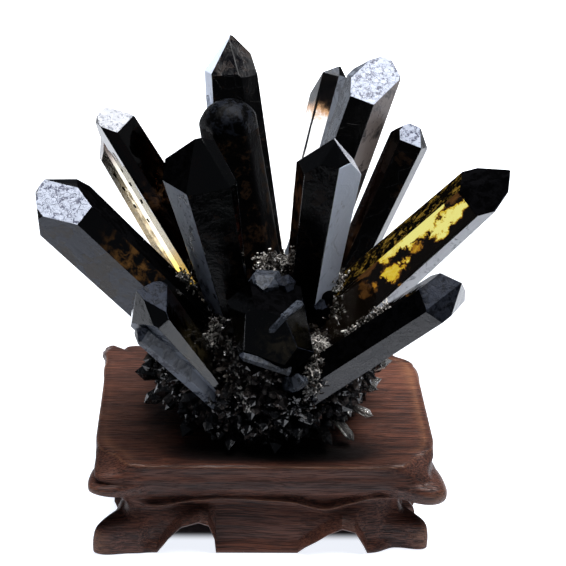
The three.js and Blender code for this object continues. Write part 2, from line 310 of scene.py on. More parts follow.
def build_growth_group():
    """How far along its axis a crystal is, where its end faces are, and its growth lines and etched ends."""
    graph, given, close = new_group(
        "Crystal growth", Position=ZERO, Root=ZERO, Axis=UP, Length=0.08, Line_spacing=0.0011, Line_height=0.5,
        Etch_size=0.0022,
    )
    offset = graph.vector("SUBTRACT", given["Position"], given["Root"])
    distance = graph.vector("DOT_PRODUCT", offset, given["Axis"])
    true_normal = graph.add("ShaderNodeNewGeometry").outputs["True Normal"]
    lean = graph.vector("DOT_PRODUCT", true_normal, given["Axis"])
    end_face = graph.step(graph.math("ABSOLUTE", lean), 0.3, 0.45)
    level = graph.scaled(given["Axis"], distance)
    squeezed = graph.vector("ADD", level, graph.scaled(graph.vector("SUBTRACT", offset, level), 0.08))
    lines = graph.noise(squeezed, graph.over(1.0, given["Line spacing"]), 2.0, 0.6)
    broad = graph.noise(squeezed, graph.over(0.16, given["Line spacing"]), 1.0)
    lined = graph.times(graph.plus(lines, graph.times(broad, 1.5)), given["Line height"])
    lined = graph.times(lined, graph.step(graph.noise(offset, 90.0, 2.0), 0.35, 0.65))
    pits = graph.cells(offset, graph.over(1.0, given["Etch size"]), feature="SMOOTH_F1")["Distance"]
    ripple = graph.noise(offset, graph.over(0.7, given["Etch size"]), 4.0, 0.6, 0.6)
    etched = graph.plus(graph.times(pits, 0.6), ripple)
    height = graph.plus(graph.times(lined, graph.rest(end_face)), graph.times(etched, end_face))
    close(Along=graph.over(distance, given["Length"]), End_face=end_face, Height=height)


def build_smoke_group():
    """Colour of the light a crystal lets through: a clear band between a smoky tip and a smoky foot."""
    graph, given, close = new_group(
        "Smoke zoning", Position=ZERO, Along=0.5, Clear_from=0.2, Clear_to=0.7, Softness=0.06, Wisp_size=0.006,
        Wisp_reach=0.15, Smoke=(0.02, 0.015, 0.01, 1), Edge=(0.3, 0.15, 0.05, 1), Clear=(1, 1, 1, 1),
        Foot=(0.5, 0.3, 0.05, 1),
    )
    wisps = graph.noise(given["Position"], graph.over(1.0, given["Wisp size"]), 4.0, 0.6, 0.8)
    along = graph.plus(given["Along"], graph.swing(wisps, given["Wisp reach"]))
    past_foot, past_tip = (
        graph.step(along, graph.minus(given[edge], given["Softness"]), graph.plus(given[edge], given["Softness"]))
        for edge in ("Clear from", "Clear to")
    )
    clear = graph.rest(past_tip)
    through = graph.mix(past_foot, given["Foot"], given["Clear"])
    rim = graph.mix(graph.step(clear, 0.0, 0.5), given["Smoke"], given["Edge"])
    close(Colour=graph.mix(graph.step(clear, 0.45, 1.0), rim, through))


def build_glow_group():
    """Painted glow: an emission that stands in for dim light scattered back out of cloudy patches inside a crystal.
    """
    graph, given, close = new_group(
        "Painted cloud glow", Position=ZERO, Centre=ZERO, Reach=0.012, Cloud_size=0.004, Threshold=0.5,
        Colour=(0.08, 0.035, 0.012, 1),
    )
    away = graph.vector("LENGTH", graph.vector("SUBTRACT", given["Position"], given["Centre"]))
    near = graph.rest(graph.step(away, 0.0, given["Reach"]))
    cloud = graph.noise(given["Position"], graph.over(1.0, given["Cloud size"]), 5.0, 0.62, 0.5)
    seen = graph.step(cloud, graph.minus(given["Threshold"], 0.08), graph.plus(given["Threshold"], 0.14))
    close(Colour=graph.mix(graph.times(near, seen), (0, 0, 0, 1), given["Colour"]))


def build_window_group():
    """A torn leaf-shaped window between two points, streaked along the crystal's axis: the mask of a painted glow."""
    graph, given, close = new_group("Painted glow window", Position=ZERO, Start=ZERO, End=UP, Half_width=0.002, Axis=UP)
    tear = graph.noise(graph.streaked(given["Position"], given["Axis"], 0.72), 480.0, 4.0, 0.6)
    reach = graph.vector("SUBTRACT", given["End"], given["Start"])
    offset = graph.vector("SUBTRACT", given["Position"], given["Start"])
    share = graph.over(graph.vector("DOT_PRODUCT", offset, reach), graph.vector("DOT_PRODUCT", reach, reach))
    share = graph.plus(share, graph.swing(tear, 0.5))
    held = graph.math("MINIMUM", graph.math("MAXIMUM", share, 0.0), 1.0)
    away = graph.vector("LENGTH", graph.vector("SUBTRACT", offset, graph.scaled(reach, held)))
    bulge = graph.math("POWER", graph.times(graph.times(held, graph.rest(held)), 4.0), 0.5)
    wide = graph.times(given["Half width"], graph.plus(bulge, 0.12))
    ragged = graph.times(wide, graph.plus(0.15, graph.times(tear, 1.75)))
    close(Amount=graph.rest(graph.step(graph.over(away, ragged), 0.75, 1.3)))


def build_wood_group():
    """Open-grained dark wood: long pores and bands along X.

    The wear-and-shade input above 0.35 rubs it lighter, as on its edges; below 0 it is painted shade: below -0.1 it
    darkens and below -0.6 it goes to a painted shadow colour.
    """
    graph, given, close = new_group(
        "Dark wood grain", Position=ZERO, Wear=0.0, Dark=(0.02, 0.01, 0.008, 1), Light=(0.07, 0.035, 0.026, 1),
        Worn=(0.2, 0.09, 0.045, 1), Shadow=(0.003, 0.0018, 0.0016, 1),
    )
    bend = graph.noise(given["Position"], 18.0, 2.0)
    sway = graph.add("ShaderNodeCombineXYZ", {"Y": bend, "Z": bend}).outputs[0]
    bent = graph.vector("ADD", given["Position"], graph.stretched(sway, (0, 0.004, 0.006)))
    lines = graph.noise(graph.stretched(bent, (0.016, 1.0, 1.0)), 2100.0, 4.0, 0.75)
    bands = graph.noise(graph.stretched(bent, (0.05, 1.0, 1.0)), 260.0, 3.0, 0.55)
    broad = graph.noise(graph.stretched(given["Position"], (0.3, 1.0, 1.0)), 45.0, 3.0, 0.6)
    pores = graph.step(graph.noise(graph.stretched(bent, (0.04, 1.0, 1.0)), 2700.0, 2.0, 0.5), 0.5, 0.6)
    tone = graph.plus(graph.plus(graph.times(lines, 1.4), graph.times(bands, 0.3)), graph.times(broad, 0.5))
    wood = graph.mix(graph.step(tone, 0.85, 1.35), given["Dark"], given["Light"])
    wood = graph.mix(graph.times(pores, 0.5), wood, given["Dark"])
    rub = graph.plus(given["Wear"], graph.swing(broad, 0.9))
    worn = graph.times(graph.step(rub, 0.35, 1.0), graph.step(lines, 0.3, 0.62))
    colour = graph.mix(worn, wood, given["Worn"])
    # Painted shade: below 0 the input darkens the wood, then takes it to the painted shadow colour.
    colour = graph.mix(graph.step(given["Wear"], -0.9, -0.1), given["Dark"], colour)
    colour = graph.mix(graph.step(given["Wear"], -1.4, -0.6), given["Shadow"], colour)
    rough = graph.plus(0.4, graph.times(pores, 0.3))
    rough = graph.minus(rough, graph.times(given["Wear"], 0.1))
    close(Colour=colour, Roughness=rough, Height=graph.minus(graph.times(lines, 0.5), pores))


def build_grit_group():
    """Fine sparkling grit: tiny flat grains, each leaning its own way, in shades of one colour; its light grains are
    partly pale grit, partly painted glints.
    """
    graph, given, close = new_group(
        "Sparkling grit", Position=ZERO, Grain_size=0.0006, Dark=(0.02, 0.015, 0.012, 1),
        Light=(0.25, 0.2, 0.16, 1),
    )
    grains = graph.cells(given["Position"], graph.over(1.0, given["Grain size"]))
    shade = graph.parts(grains["Color"])
    patches = graph.noise(given["Position"], 160.0, 3.0)
    bright = graph.times(graph.step(shade[0], 0.35, 1.0), graph.step(patches, 0.35, 0.7))
    close(Colour=graph.mix(bright, given["Dark"], given["Light"]),
          Roughness=graph.plus(0.08, graph.times(shade[1], 0.4)), Height=graph.plus(shade[2], grains["Distance"]))


def build_frost_group():
    """Icy shards, each of its own brightness, over soft blotches, with a web of fine straight cracks."""
    graph, given, close = new_group(
        "Etched frost", Position=ZERO, Size=0.003, Balance=0.5, Pale=(0.5, 0.54, 0.62, 1),
        Shade=(0.07, 0.08, 0.12, 1), Crack=(0.012, 0.014, 0.022, 1), Cracks=0.8, Haze=0.2,
    )
    scale = graph.over(1.0, given["Size"])
    blotch = graph.noise(given["Position"], scale, 6.0, 0.7, 0.6)
    fine = graph.noise(given["Position"], graph.times(scale, 5.0), 3.0, 0.6)
    bent = graph.vector("ADD", given["Position"], graph.scaled((0.0007, -0.0005, 0.0006), fine))
    tint = graph.parts(graph.cells(bent, graph.times(scale, 1.7))["Color"])
    mixed = graph.plus(graph.plus(blotch, graph.swing(fine, 0.5)), graph.swing(tint[0], 0.22))
    pale = graph.step(mixed, graph.minus(given["Balance"], 0.1), graph.plus(given["Balance"], 0.08))
    web = graph.cells(bent, graph.times(scale, 0.9), feature="DISTANCE_TO_EDGE")["Distance"]
    crack = graph.times(graph.rest(graph.step(web, 0.0, 0.045)), graph.step(blotch, 0.52, 0.6))
    crack = graph.times(crack, given["Cracks"])
    colour = graph.mix(crack, graph.mix(pale, given["Shade"], given["Pale"]), given["Crack"])
    height = graph.minus(graph.plus(blotch, graph.times(tint[1], 0.25)), graph.times(crack, 0.5))
    close(Colour=colour, Roughness=graph.plus(given["Haze"], graph.times(pale, 0.2)), Height=height)


# ---------------------------------------------------------------- crystals

QUARTZ_IOR = 1.544
END_TILT = 51.8  # degrees between the outward direction of an end face and the crystal's axis
EDGE_FACE = 4e-6  # square metres: smaller faces are rounded edges
FACE_MATCH, EDGE_MATCH = 0.985, 0.8  # least cosine between a finish's direction and a face's or a rounded edge's
SHARP = 14  # degrees between two faces from which the edge between them is rounded
# A crystal's material slots: clear quartz, then opaque finishes for single faces: the dark ones are smoke and
# etching, the icy and snowy tips etching with painted reflection, the grey, silvery, white and slate ones painted
# reflection, and the smoky brown one smoke with a painted sheen.
(PLAIN, ICY_REFLECTION, DIM, GREY_REFLECTION, SILVER_REFLECTION, SOOTY, SMOKED, DEPTHS, BROWN_SHEEN, WHITE_REFLECTION, SLATE_REFLECTION, MELTED, FLINT, TIP, SNOWY_REFLECTION, AMBERED,
 FLANK, DUSKY) = range(18)
# Each finish: name, share of shade, pale colour, shade colour, size of the mottling in m, cracks, haze, shine.
FACE_FINISHES = (
    ("icy etched tips with painted reflection", 0.43, (0.33, 0.36, 0.44), (0.045, 0.05, 0.085), 0.0021, 0.95, 0.15, 0.25),
    ("etched dark blue faces", 0.5, (0.015, 0.018, 0.027), (0.004, 0.005, 0.008), 0.0026, 0.4, 0.25, 0.06),
    ("grey faces of painted reflection", 0.5, (0.125, 0.14, 0.17), (0.05, 0.056, 0.07), 0.012, 0.4, 0.2, 0.3),
    ("silvery faces of painted reflection", 0.3, (0.66, 0.73, 0.88), (0.36, 0.4, 0.5), 0.012, 0.2, 0.25, 0.4),
    ("sooty faces", 0.5, (0.0016, 0.0016, 0.0019), (0.0006, 0.0006, 0.0007), 0.004, 0.0, 0.6, 0.0),
    ("smoked lower faces", 0.52, (0.033, 0.032, 0.035), (0.003, 0.004, 0.009), 0.01, 0.0, 0.08, 0.28),
    ("dark brown depths", 0.64, (0.014, 0.008, 0.005), (0.0018, 0.0018, 0.002), 0.009, 0.0, 0.06, 0.08),
    ("smoky brown faces with painted sheen", 0.5, (0.2, 0.165, 0.15), (0.045, 0.04, 0.04), 0.02, 0.0, 0.12, 0.3),
    ("white faces of painted reflection", 0.34, (0.9, 0.91, 0.94), (0.36, 0.37, 0.4), 0.007, 0.5, 0.3, 0.3),
    ("slate faces of painted reflection", 0.42, (0.26, 0.29, 0.35), (0.055, 0.062, 0.078), 0.01, 0.3, 0.22, 0.25),
    ("melted dark dome", 0.56, (0.006, 0.007, 0.01), (0.0009, 0.0009, 0.001), 0.005, 0.0, 0.25, 0.025),
    ("flinty small crystals", 0.5, (0.036, 0.042, 0.055), (0.012, 0.014, 0.018), 0.003, 0.4, 0.2, 0.12),
    ("smoky brown tip", 0.56, (0.013, 0.0092, 0.008), (0.0012, 0.0012, 0.0019), 0.007, 0.0, 0.12, 0.1),
    ("snowy etched tips with painted reflection", 0.42, (0.3, 0.31, 0.34), (0.09, 0.1, 0.13), 0.0035, 0.9, 0.15, 0.25),
    ("golden brown speckled faces", 0.61, (0.12, 0.074, 0.012), (0.0012, 0.001, 0.0008), 0.0036, 0.0, 0.6, 0.0),
    ("dark brown flanks", 0.62, (0.015, 0.0085, 0.005), (0.0012, 0.0012, 0.0013), 0.006, 0.0, 0.4, 0.012),
    ("dusky blue faces", 0.48, (0.03, 0.036, 0.054), (0.026, 0.017, 0.011), 0.012, 0.1, 0.08, 0.26),
)

NO_CLEAR_BAND = (2.0, -1.0)  # a start past the tip and an end before the foot
# Each crystal: the node it stands for, the foot and tip of its axis in mm, and how its smoke lies.
# faces: outward direction and finish of each face with a finish of its own. chips: point, outward direction and
# finish of each
# small broken facet. all: finish above a height in mm, that height, finish below it. glow: a cloud's painted glow, an
# emission:
# its centre and reach in mm, its threshold and colour. clear: where the clear band begins and ends, as shares of the
# axis.
# spin, sides, ends and taper: see whole_crystal; without them the node's own mesh gives the shape.
CRYSTALS = {
    "tall_back_crystal": {
        "node": "crystal_tall_back", "root": (-4.5, 21.5, 71.5), "tip": (-15.5, 40, 167),
        "faces": (((-0.83, -0.06, 0.55), SILVER_REFLECTION), ((-0.97, -0.22, -0.02), SILVER_REFLECTION), ((0.46, -0.44, 0.77), TIP),
                  ((-0.31, -0.62, 0.72), TIP), ((-0.31, -0.93, 0.19), DEPTHS), ((0.66, -0.7, 0.26), DEPTHS)),
        "glow": ((-6, 14, 125), 16, 0.5, (0.03, 0.014, 0.006)),
    },
    "domed_crystal": {
        "node": "crystal_domed", "root": (-3.5, 0.5, 80), "tip": (-17, 8.5, 151),
        "all": (MELTED, 142, FLANK),
        "glow": ((-4, -8, 122), 13, 0.5, (0.03, 0.014, 0.006)),
    },
    "centre_left_crystal": {
        "node": "crystal_centre_left", "root": (-13.5, -12.5, 80), "tip": (-29, -21, 155),
        "faces": (((-0.8, -0.52, -0.3), SLATE_REFLECTION), ((0.08, -0.98, -0.18), DEPTHS), ((-0.77, -0.49, 0.42), SOOTY)),
        "glow": ((-18, -26, 118), 14, 0.52, (0.02, 0.007, 0.005)),
    },
    "centre_right_crystal": {
        "node": "crystal_centre_right", "root": (13, -9.5, 80), "tip": (18.5, -26, 155.5),
        "faces": (((0.68, -0.69, -0.24), SILVER_REFLECTION), ((-0.28, -0.93, -0.22), DEPTHS),
                  ((0.81, 0.06, 0.59), SNOWY_REFLECTION)),
        "glow": ((9, -22, 128), 15, 0.48, (0.022, 0.01, 0.005)),
    },
    "upper_right_crystal": {
        "node": "crystal_upper_right", "root": (12, 11, 79), "tip": (39.5, 24, 166.5),
        "faces": (((-0.02, -0.65, 0.76), ICY_REFLECTION), ((-0.26, -0.94, 0.22), DEPTHS), ((0.67, -0.74, -0.1), BROWN_SHEEN),
                  ((-0.93, -0.2, 0.32), GREY_REFLECTION), ((-0.54, -0.07, 0.84), GREY_REFLECTION)),
        "glow": ((30, 12, 125), 8, 0.5, (0.01, 0.007, 0.004)),
    },
    "left_black_crystal": {
        "node": "crystal_left_pair", "root": (-16.5, 4.5, 78.5), "tip": (-59.5, 0.5, 155), "spin": 25,
        "sides": (7.5, 7, 7.5, 6, 7.5, 5.5), "ends": (4.5, 4.5, 5, 1, 0, 6.5), "taper": 1,
        "faces": (((0.26, -0.49, 0.83), SNOWY_REFLECTION),),
        "glow": ((-38, -3, 122), 9, 0.55, (0.05, 0.025, 0.012)),
    },
    "left_honey_crystal": {
        "node": "crystal_left_pair", "root": (-23.5, 12.5, 72.5), "tip": (-60.5, 14, 139), "spin": 16,
        "sides": (5, 5, 5, 5.5, 5, 5), "ends": (2.5, 0.5, 0, 4.5, 2.5, 2), "taper": 1,
        "clear": (0.3, 0.84), "softness": 0.1, "density": 6, "smoke": (0.02, 0.012, 0.01),
        "edge": (0.45, 0.38, 0.33), "through": (0.9, 0.84, 0.68), "foot": (1, 0.62, 0.1),
        "glow": ((-40, 12, 102), 26, 0.42, (0.19, 0.155, 0.1)),
    },
    "upper_right_back_crystal": {
        "node": "crystal_upper_right_back", "root": (2.5, 24.5, 64), "tip": (25.5, 50.5, 155.5),
        "clear": (-1.0, 0.77), "softness": 0.05, "density": 5, "smoke": (0.002, 0.0015, 0.0014),
        "faces": (((-0.05, -0.55, 0.83), FLINT), ((0.68, -0.73, 0.02), GREY_REFLECTION)),
        "edge": (0.5, 0.28, 0.14), "through": (1, 0.98, 0.94),
        "glow": ((8, 30, 96), 30, 0.1, (0.45, 0.44, 0.42)),
    },
    "right_crystal": {
        "node": "crystal_right", "root": (20.5, 14, 63), "tip": (51.5, 17, 144.5),
        "faces": (((0.19, -0.76, 0.62), ICY_REFLECTION), ((-0.05, -1.0, 0.04), DEPTHS)),
        "glow": ((28, 8, 100), 10, 0.5, (0.02, 0.01, 0.005)),
    },
    "amber_crystal": {
        "node": "crystal_amber", "root": (26, -7.5, 75), "tip": (79, -26, 142.5),
        "smoke": (0.9, 0.88, 0.84), "density": 25, "shine": 0.25,
        "faces": (((0.23, -0.89, -0.39), WHITE_REFLECTION), ((-0.06, -0.76, 0.65), SOOTY), ((-0.23, -0.07, 0.97), SOOTY),
                  ((-0.77, 0.08, 0.63), AMBERED), ((0.54, -0.83, 0.15), DIM)),
        "glow": ((26, -8, 75), 2, 0.9, (0, 0, 0)),
    },
    "lower_left_crystal": {
        "node": "crystal_lower_left", "root": (-16.5, -24, 57), "tip": (-46.5, -42.5, 107),
        "faces": (((0.38, -0.32, 0.87), DIM), ((-0.4, -0.71, -0.57), GREY_REFLECTION)),
        "glow": ((-27, -38, 80), 14, 0.45, (0.014, 0.011, 0.005)),
    },
    "far_left_crystal": {
        "node": "crystal_far_left", "root": (-25, -12.5, 72), "tip": (-81, -19, 134),
        "faces": (((-0.04, -0.68, 0.73), ICY_REFLECTION), ((0.74, 0.11, 0.67), SOOTY), ((-0.24, -0.91, -0.33), DUSKY)),
        "chips": (((-79.5, -21, 126), (-0.55, -0.5, 0.67), SNOWY_REFLECTION),),
        "glow": ((-46, -26, 103), 20, 0.53, (0.085, 0.04, 0.01)),
    },
    "lower_right_crystal": {
        "node": "crystal_lower_right", "root": (8.5, -24.5, 56.5), "tip": (61, -55.5, 116.5),
        "faces": (((-0.2, -0.69, 0.7), DIM), ((-0.11, -0.92, -0.37), SMOKED), ((-0.73, -0.59, 0.35), SOOTY),
                  ((0.29, -0.95, 0.14), DIM)),
        "glow": ((40, -50, 90), 10, 0.55, (0.01, 0.007, 0.005)),
    },
    "front_crystal": {
        "node": "crystal_front", "root": (0, -18.5, 79), "tip": (-1.5, -55.5, 97),
        "faces": (((-0.26, -0.88, -0.41), SOOTY), ((0.51, -0.83, -0.24), SOOTY), ((0.22, -0.24, 0.95), SOOTY)),
        "chips": (((-4.5, -45.5, 82), (-0.1, -0.98, 0.15), PLAIN), ((6.0, -42.5, 94.5), (0.55, -0.6, 0.58), DIM)),
        "glow": ((3, -48, 86), 12, 0.5, (0.008, 0.0065, 0.004)),
    },
}

# Small crystals beside the large ones: root and tip in mm, half thickness, turn in degrees, finish of the sides
# and finish of the end.
SHARDS = {
    "lower_left_twin": ((-15, -25, 53), (-45.4, -46.5, 92.7), 3.7, 12, GREY_REFLECTION, DIM),
    "front_top_shard": ((-1.5, -20, 96), (-4.5, -36.5, 101.5), 5.0, 20, FLINT, FLINT),
    "front_dark_shard": ((4, -20, 95), (3.2, -33.5, 101.6), 3.8, 45, DIM, DIM),
    "front_middle_shard": ((8.6, -35.5, 96.3), (2.2, -44.9, 95.4), 1.2, 0, FLINT, FLINT),
    "front_middle_foot_shard": ((3.4, -43.2, 95.9), (-1.8, -44.6, 89.9), 1.1, 0, FLINT, FLINT),
    "front_low_shard": ((5.5, -44.2, 76.2), (-11.8, -45.9, 82.6), 1.6, 25, FLINT, DIM),
    "front_block_shard": ((5.3, -23.8, 59), (9.8, -47.5, 74), 2.9, 10, FLINT, FLINT),
    "centre_right_foot_shard": ((16.0, -17.6, 80), (17.6, -18.3, 90.5), 2.6, 15, SOOTY, DIM),
    "centre_right_side_shard": ((18.5, -16.5, 82), (20.0, -17.2, 93.0), 2.0, 40, SOOTY, SOOTY),
    "tall_back_sliver": ((-17.5, 27, 122), (-23.0, 30.5, 145.5), 1.0, 0, SILVER_REFLECTION, GREY_REFLECTION),
}
# Black specks on the honey crystal: where each sits, in mm.
SPECKS = ((-53.9, 9.3, 122.0), (-50.9, 9.0, 117.2), (-47.1, 8.6, 110.9), (-42.5, 8.0, 105.7), (-37.4, 7.4, 99.4))


def quartz_material(name, look, settings):
    """Glossy natural quartz whose smoke lies in zones along its axis, with growth lines and etched end faces."""
    material, graph, shader, position = new_material(name)
    root, tip = place(*look["root"]), place(*look["tip"])
    length = float(np.linalg.norm(tip - root))
    growth = use_group(graph, "Crystal growth", Position=position, Root=tuple(root),
                       Axis=tuple((tip - root) / length), Length=length)
    clear_from, clear_to = look.get("clear", NO_CLEAR_BAND)
    smoke = use_group(
        graph, "Smoke zoning", Position=position, Along=growth["Along"], Clear_from=clear_from, Clear_to=clear_to,
        Softness=look.get("softness", 0.06), Smoke=(*look.get("smoke", settings.smoke_colour), 1),
        Edge=(*look.get("edge", (0.3, 0.15, 0.05)), 1), Clear=(*look.get("through", (1, 1, 1)), 1),
        Foot=(*look.get("foot", (0.5, 0.3, 0.05)), 1),
    )
    # Painted glow: an emission from cloudy patches, standing in for light scattered inside the crystal.
    centre, reach, threshold, colour = look["glow"]
    glow = use_group(graph, "Painted cloud glow", Position=position, Centre=tuple(place(*centre)), Reach=reach * MM,
                     Threshold=threshold, Colour=(*colour, 1))
    graph.set(shader, Base_Color=smoke["Colour"], Emission_Color=glow["Colour"], Emission_Strength=1.0,
              Transmission_Weight=1.0, IOR=QUARTZ_IOR, Specular_IOR_Level=look.get("shine", 0.5),
              Roughness=graph.plus(0.025, graph.times(growth["End face"], 0.1)))
    add_bump(graph, shader, growth["Height"], 0.00012)
    absorb = graph.add("ShaderNodeVolumeAbsorption", {
        "Color": (*settings.absorb_colour, 1), "Density": look.get("density", settings.density),
    })
    graph.set(material.node_tree.nodes["Material Output"], Volume=absorb.outputs["Volume"])
    return material


def frost_material(name, balance, pale, shade, size, cracks, haze, shine):
    """Naturally etched quartz: mottled, with fine cracks."""
    material, graph, shader, position = new_material(name)
    frost = use_group(graph, "Etched frost", Position=position, Size=size, Balance=balance, Pale=(*pale, 1),
                      Shade=(*shade, 1), Cracks=cracks, Haze=haze)
    graph.set(shader, Base_Color=frost["Colour"], Roughness=frost["Roughness"], IOR=QUARTZ_IOR,
              Specular_IOR_Level=shine)
    add_bump(graph, shader, frost["Height"], 0.0005)
    return material


def axis_frame(root, tip):
    """The axis from root to tip and two directions across it: X and Y, tipped over as Z tips to the axis."""
    axis = tip - root
    axis = axis / np.linalg.norm(axis)
    cross = np.cross([0, 0, 1], axis)
    sine, cosine = np.linalg.norm(cross), axis[2]
    cross = cross / sine

    def turned(v):
        return v * cosine + np.cross(cross, v) * sine + cross * np.dot(cross, v) * (1 - cosine)

    return turned(np.array([1.0, 0, 0])), turned(np.array([0, 1.0, 0])), axis


def merged_copy(node):
    """A copy of a node's mesh with its loose triangles joined and its flat faces made whole."""
    work = bmesh.new()
    work.from_mesh(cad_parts[node].data)
    bmesh.ops.remove_doubles(work, verts=work.verts, dist=0.02 * MM)
    bmesh.ops.dissolve_limit(work, angle_limit=math.radians(0.6), verts=work.verts, edges=work.edges)
    return work


def cut_flat(work, point, normal):
    """Cuts away what lies past a plane and closes the cut with one flat face."""
    found = bmesh.ops.bisect_plane(work, geom=work.verts[:] + work.edges[:] + work.faces[:], plane_co=tuple(point),
                                   plane_no=tuple(normal), dist=1e-7, clear_outer=True)
    edges = [e for e in found["geom_cut"] if isinstance(e, bmesh.types.BMEdge)]
    if edges:
        bmesh.ops.contextual_create(work, geom=edges)


def round_edges(work, edges, width):
    bmesh.ops.bevel(work, geom=edges, offset=width, offset_type="OFFSET", segments=2, profile=0.6, affect="EDGES",
                    clamp_overlap=True)


def whole_crystal(look):
    """A block cut by six prism faces and six end faces.

    Face i stands at a turn of spin + 60 i about the axis. Its prism face is sides[i] from the axis half way up,
    leaning in by the taper; its end face leans 51.8 degrees off the axis, ends[i] back from the tip.
    """
    root, tip = place(*look["root"]), place(*look["tip"])
    across, back, axis = axis_frame(root, tip)
    work = bmesh.new()
    bmesh.ops.create_cube(work, size=0.4)
    bmesh.ops.translate(work, vec=tuple(root), verts=work.verts)
    cut_flat(work, root, -axis)
    lean, tilt = math.radians(90 - look["taper"]), math.radians(END_TILT)
    for i, (side, end) in enumerate(zip(look["sides"], look["ends"])):
        turn = math.radians(look["spin"] + 60 * i)
        out = math.cos(turn) * across + math.sin(turn) * back
        cut_flat(work, (root + tip) / 2 + out * side * MM, out * math.sin(lean) + axis * math.cos(lean))
        cut_flat(work, tip - axis * end * MM, out * math.sin(tilt) + axis * math.cos(tilt))
    return work


def crystal_piece(name, look, edge_width):
    """The node's faceted crystal with every real edge rounded over by a hair, as natural edges are."""
    work = whole_crystal(look) if "sides" in look else merged_copy(look["node"])
    chips = look.get("chips", ())
    for point, normal, finish in chips:
        cut_flat(work, place(*point), normal)
    work.normal_update()
    round_edges(work, [e for e in work.edges if e.is_manifold and e.calc_face_angle(0.0) > math.radians(SHARP)],
                edge_width)
    bmesh.ops.triangulate(work, faces=[f for f in work.faces if len(f.verts) > 4])
    work.normal_update()
    finished_faces = [*look.get("faces", ()), *((normal, finish) for point, normal, finish in chips)]
    for face in work.faces:
        alike = [np.dot(face.normal, normal) / np.linalg.norm(normal) for normal, finish in finished_faces]
        if alike and max(alike) > (FACE_MATCH if face.calc_area() > EDGE_FACE else EDGE_MATCH):
            face.material_index = finished_faces[int(np.argmax(alike))][1]
    return cut_object(name, work)


def shard_piece(name, root, tip, side, spin, edge_width):
    """A small six-sided crystal with slightly uneven faces; its end faces take the second material."""
    look = {"root": root, "tip": tip, "spin": spin, "taper": 2,
            "sides": [side * share for share in (1.0, 0.86, 1.08, 0.94, 1.1, 0.9)],
            "ends": [side * share for share in (0, 0.3, 0.1, 0.45, 0, 0.2)]}
    work = whole_crystal(look)
    round_edges(work, work.edges[:], edge_width)
    work.normal_update()
    axis = axis_frame(place(*root), place(*tip))[2]
    for face in work.faces:
        face.material_index = int(np.dot(face.normal, axis) > 0.4)
    return cut_object(name, work)


def domed_piece(name, look):
    """A six-sided prism that melts into a dome.

    The radius at a turn and a height is the soft least of the six faces' distances over the cosine of the turn
    from each face; above the shoulder it shrinks as an ellipse does, with shallow swirls left by the melting.
    """
    root, tip = place(*look["root"]) / MM, place(*look["tip"]) / MM
    across, back, axis = axis_frame(root, tip)
    length = np.linalg.norm(tip - root)
    dome, side, spin, power = 6.9, 9.0, math.radians(34), 14.0
    shoulder = length - dome
    curved = shoulder + dome * np.sin(np.linspace(0, np.pi / 2, 60)[1:])
    rise = np.concatenate([np.linspace(0, shoulder, 120), curved])
    rise[-1] = length - 0.001
    turn, height = np.meshgrid(np.linspace(0, 2 * np.pi, 240, endpoint=False), rise)
    bend = np.cos(turn[..., None] - (spin + np.arange(6) * np.pi / 3))
    reach = np.sum((np.maximum(bend, 0) / side) ** power, -1) ** (-1 / power)
    over = ramp(height, shoulder, length)
    squash = np.sqrt(np.maximum(1 - over**2, 0))
    reach = reach * squash + (side - reach) * squash * np.clip(over * 1.6, 0, 1)
    middle = root + height[..., None] * axis
    point = middle + (reach * np.cos(turn))[..., None] * across + (reach * np.sin(turn))[..., None] * back
    swirl = value_noise(point, 5.0, 11) * 0.25 + value_noise(point, 1.7, 12) * 0.08
    point = point + (swirl * np.clip(over * 3, 0.15, 1))[..., None] * (point - middle) / side
    return closed_skin(name, point * MM, root * MM, (root + axis * length) * MM, inside_out=True)


# The amber crystal's faces as whole_crystal takes them, for its heart.
AMBER = dict(CRYSTALS["amber_crystal"], spin=51, sides=(4, 10, 11, 13, 11.5, 3), ends=(2.5, 1.5, 4, 2, 0, 5),
             taper=1.5)
AMBER_FRONT = np.array([-0.5564, -0.8021, 0.2171])  # outward direction of its broad front face
AMBER_DEPTH = 10.6  # mm from the axis to the windows
# The amber crystal's golden windows in its smoke, whose glow is painted: start and end, each along the axis and
# across it in mm, half width and strength of the glow.
GOLD_WINDOWS = (
    (40.5, 3.2, 66, 7.2, 3.1, 1.05), (43, 4.6, 60, 6.4, 2.2, 1.1), (30, 4.8, 46, 4.9, 2.3, 0.8),
    (50.5, -0.1, 71, 0.7, 2.4, 1.0), (52, -1.5, 62, -1.0, 1.7, 1.1), (34, 0.8, 44, -1.6, 1.7, 0.8),
    (29, -3.2, 37, -2.6, 1.4, 0.5), (29, -0.2, 38, -1.0, 3.0, 0.55), (24.0, 0.6, 27, -1.4, 2.0, 0.15),
    (31.5, -4.6, 34.5, -6.4, 1.3, 0.0), (36, 9.8, 53, 8.3, 2.0, -0.2), (64, 8.6, 69.5, 3.0, 2.1, -0.3),
    (69.5, 1.0, 71.5, -3.0, 1.1, 0.3), (20.5, 5.6, 32, 6.4, 2.8, -0.4), (43, 0.8, 50, -1.0, 1.8, 0.2),
    (24, 8.2, 34, 8.8, 1.8, -0.5), (18, 1.0, 26, 1.4, 2.8, -0.5),
    (34, -1.3, 42.5, -1.8, 1.7, 0.6), (31, 6.2, 38, 3.2, 2.4, 0.65), (52, 3.6, 60, 4.4, 2.2, 1.05),
)
# How the windows' warmth turns to painted glow: colour by colour, the warmth where it begins and where it is full.
PAINTED_GLOW_STEPS = (
    (-0.85, -0.3, (0.075, 0.032, 0.008, 1)), (-0.3, 0.15, (0.36, 0.16, 0.012, 1)), (0.1, 0.5, (0.68, 0.49, 0.03, 1)),
    (0.5, 1.0, (0.88, 0.84, 0.26, 1)),
)


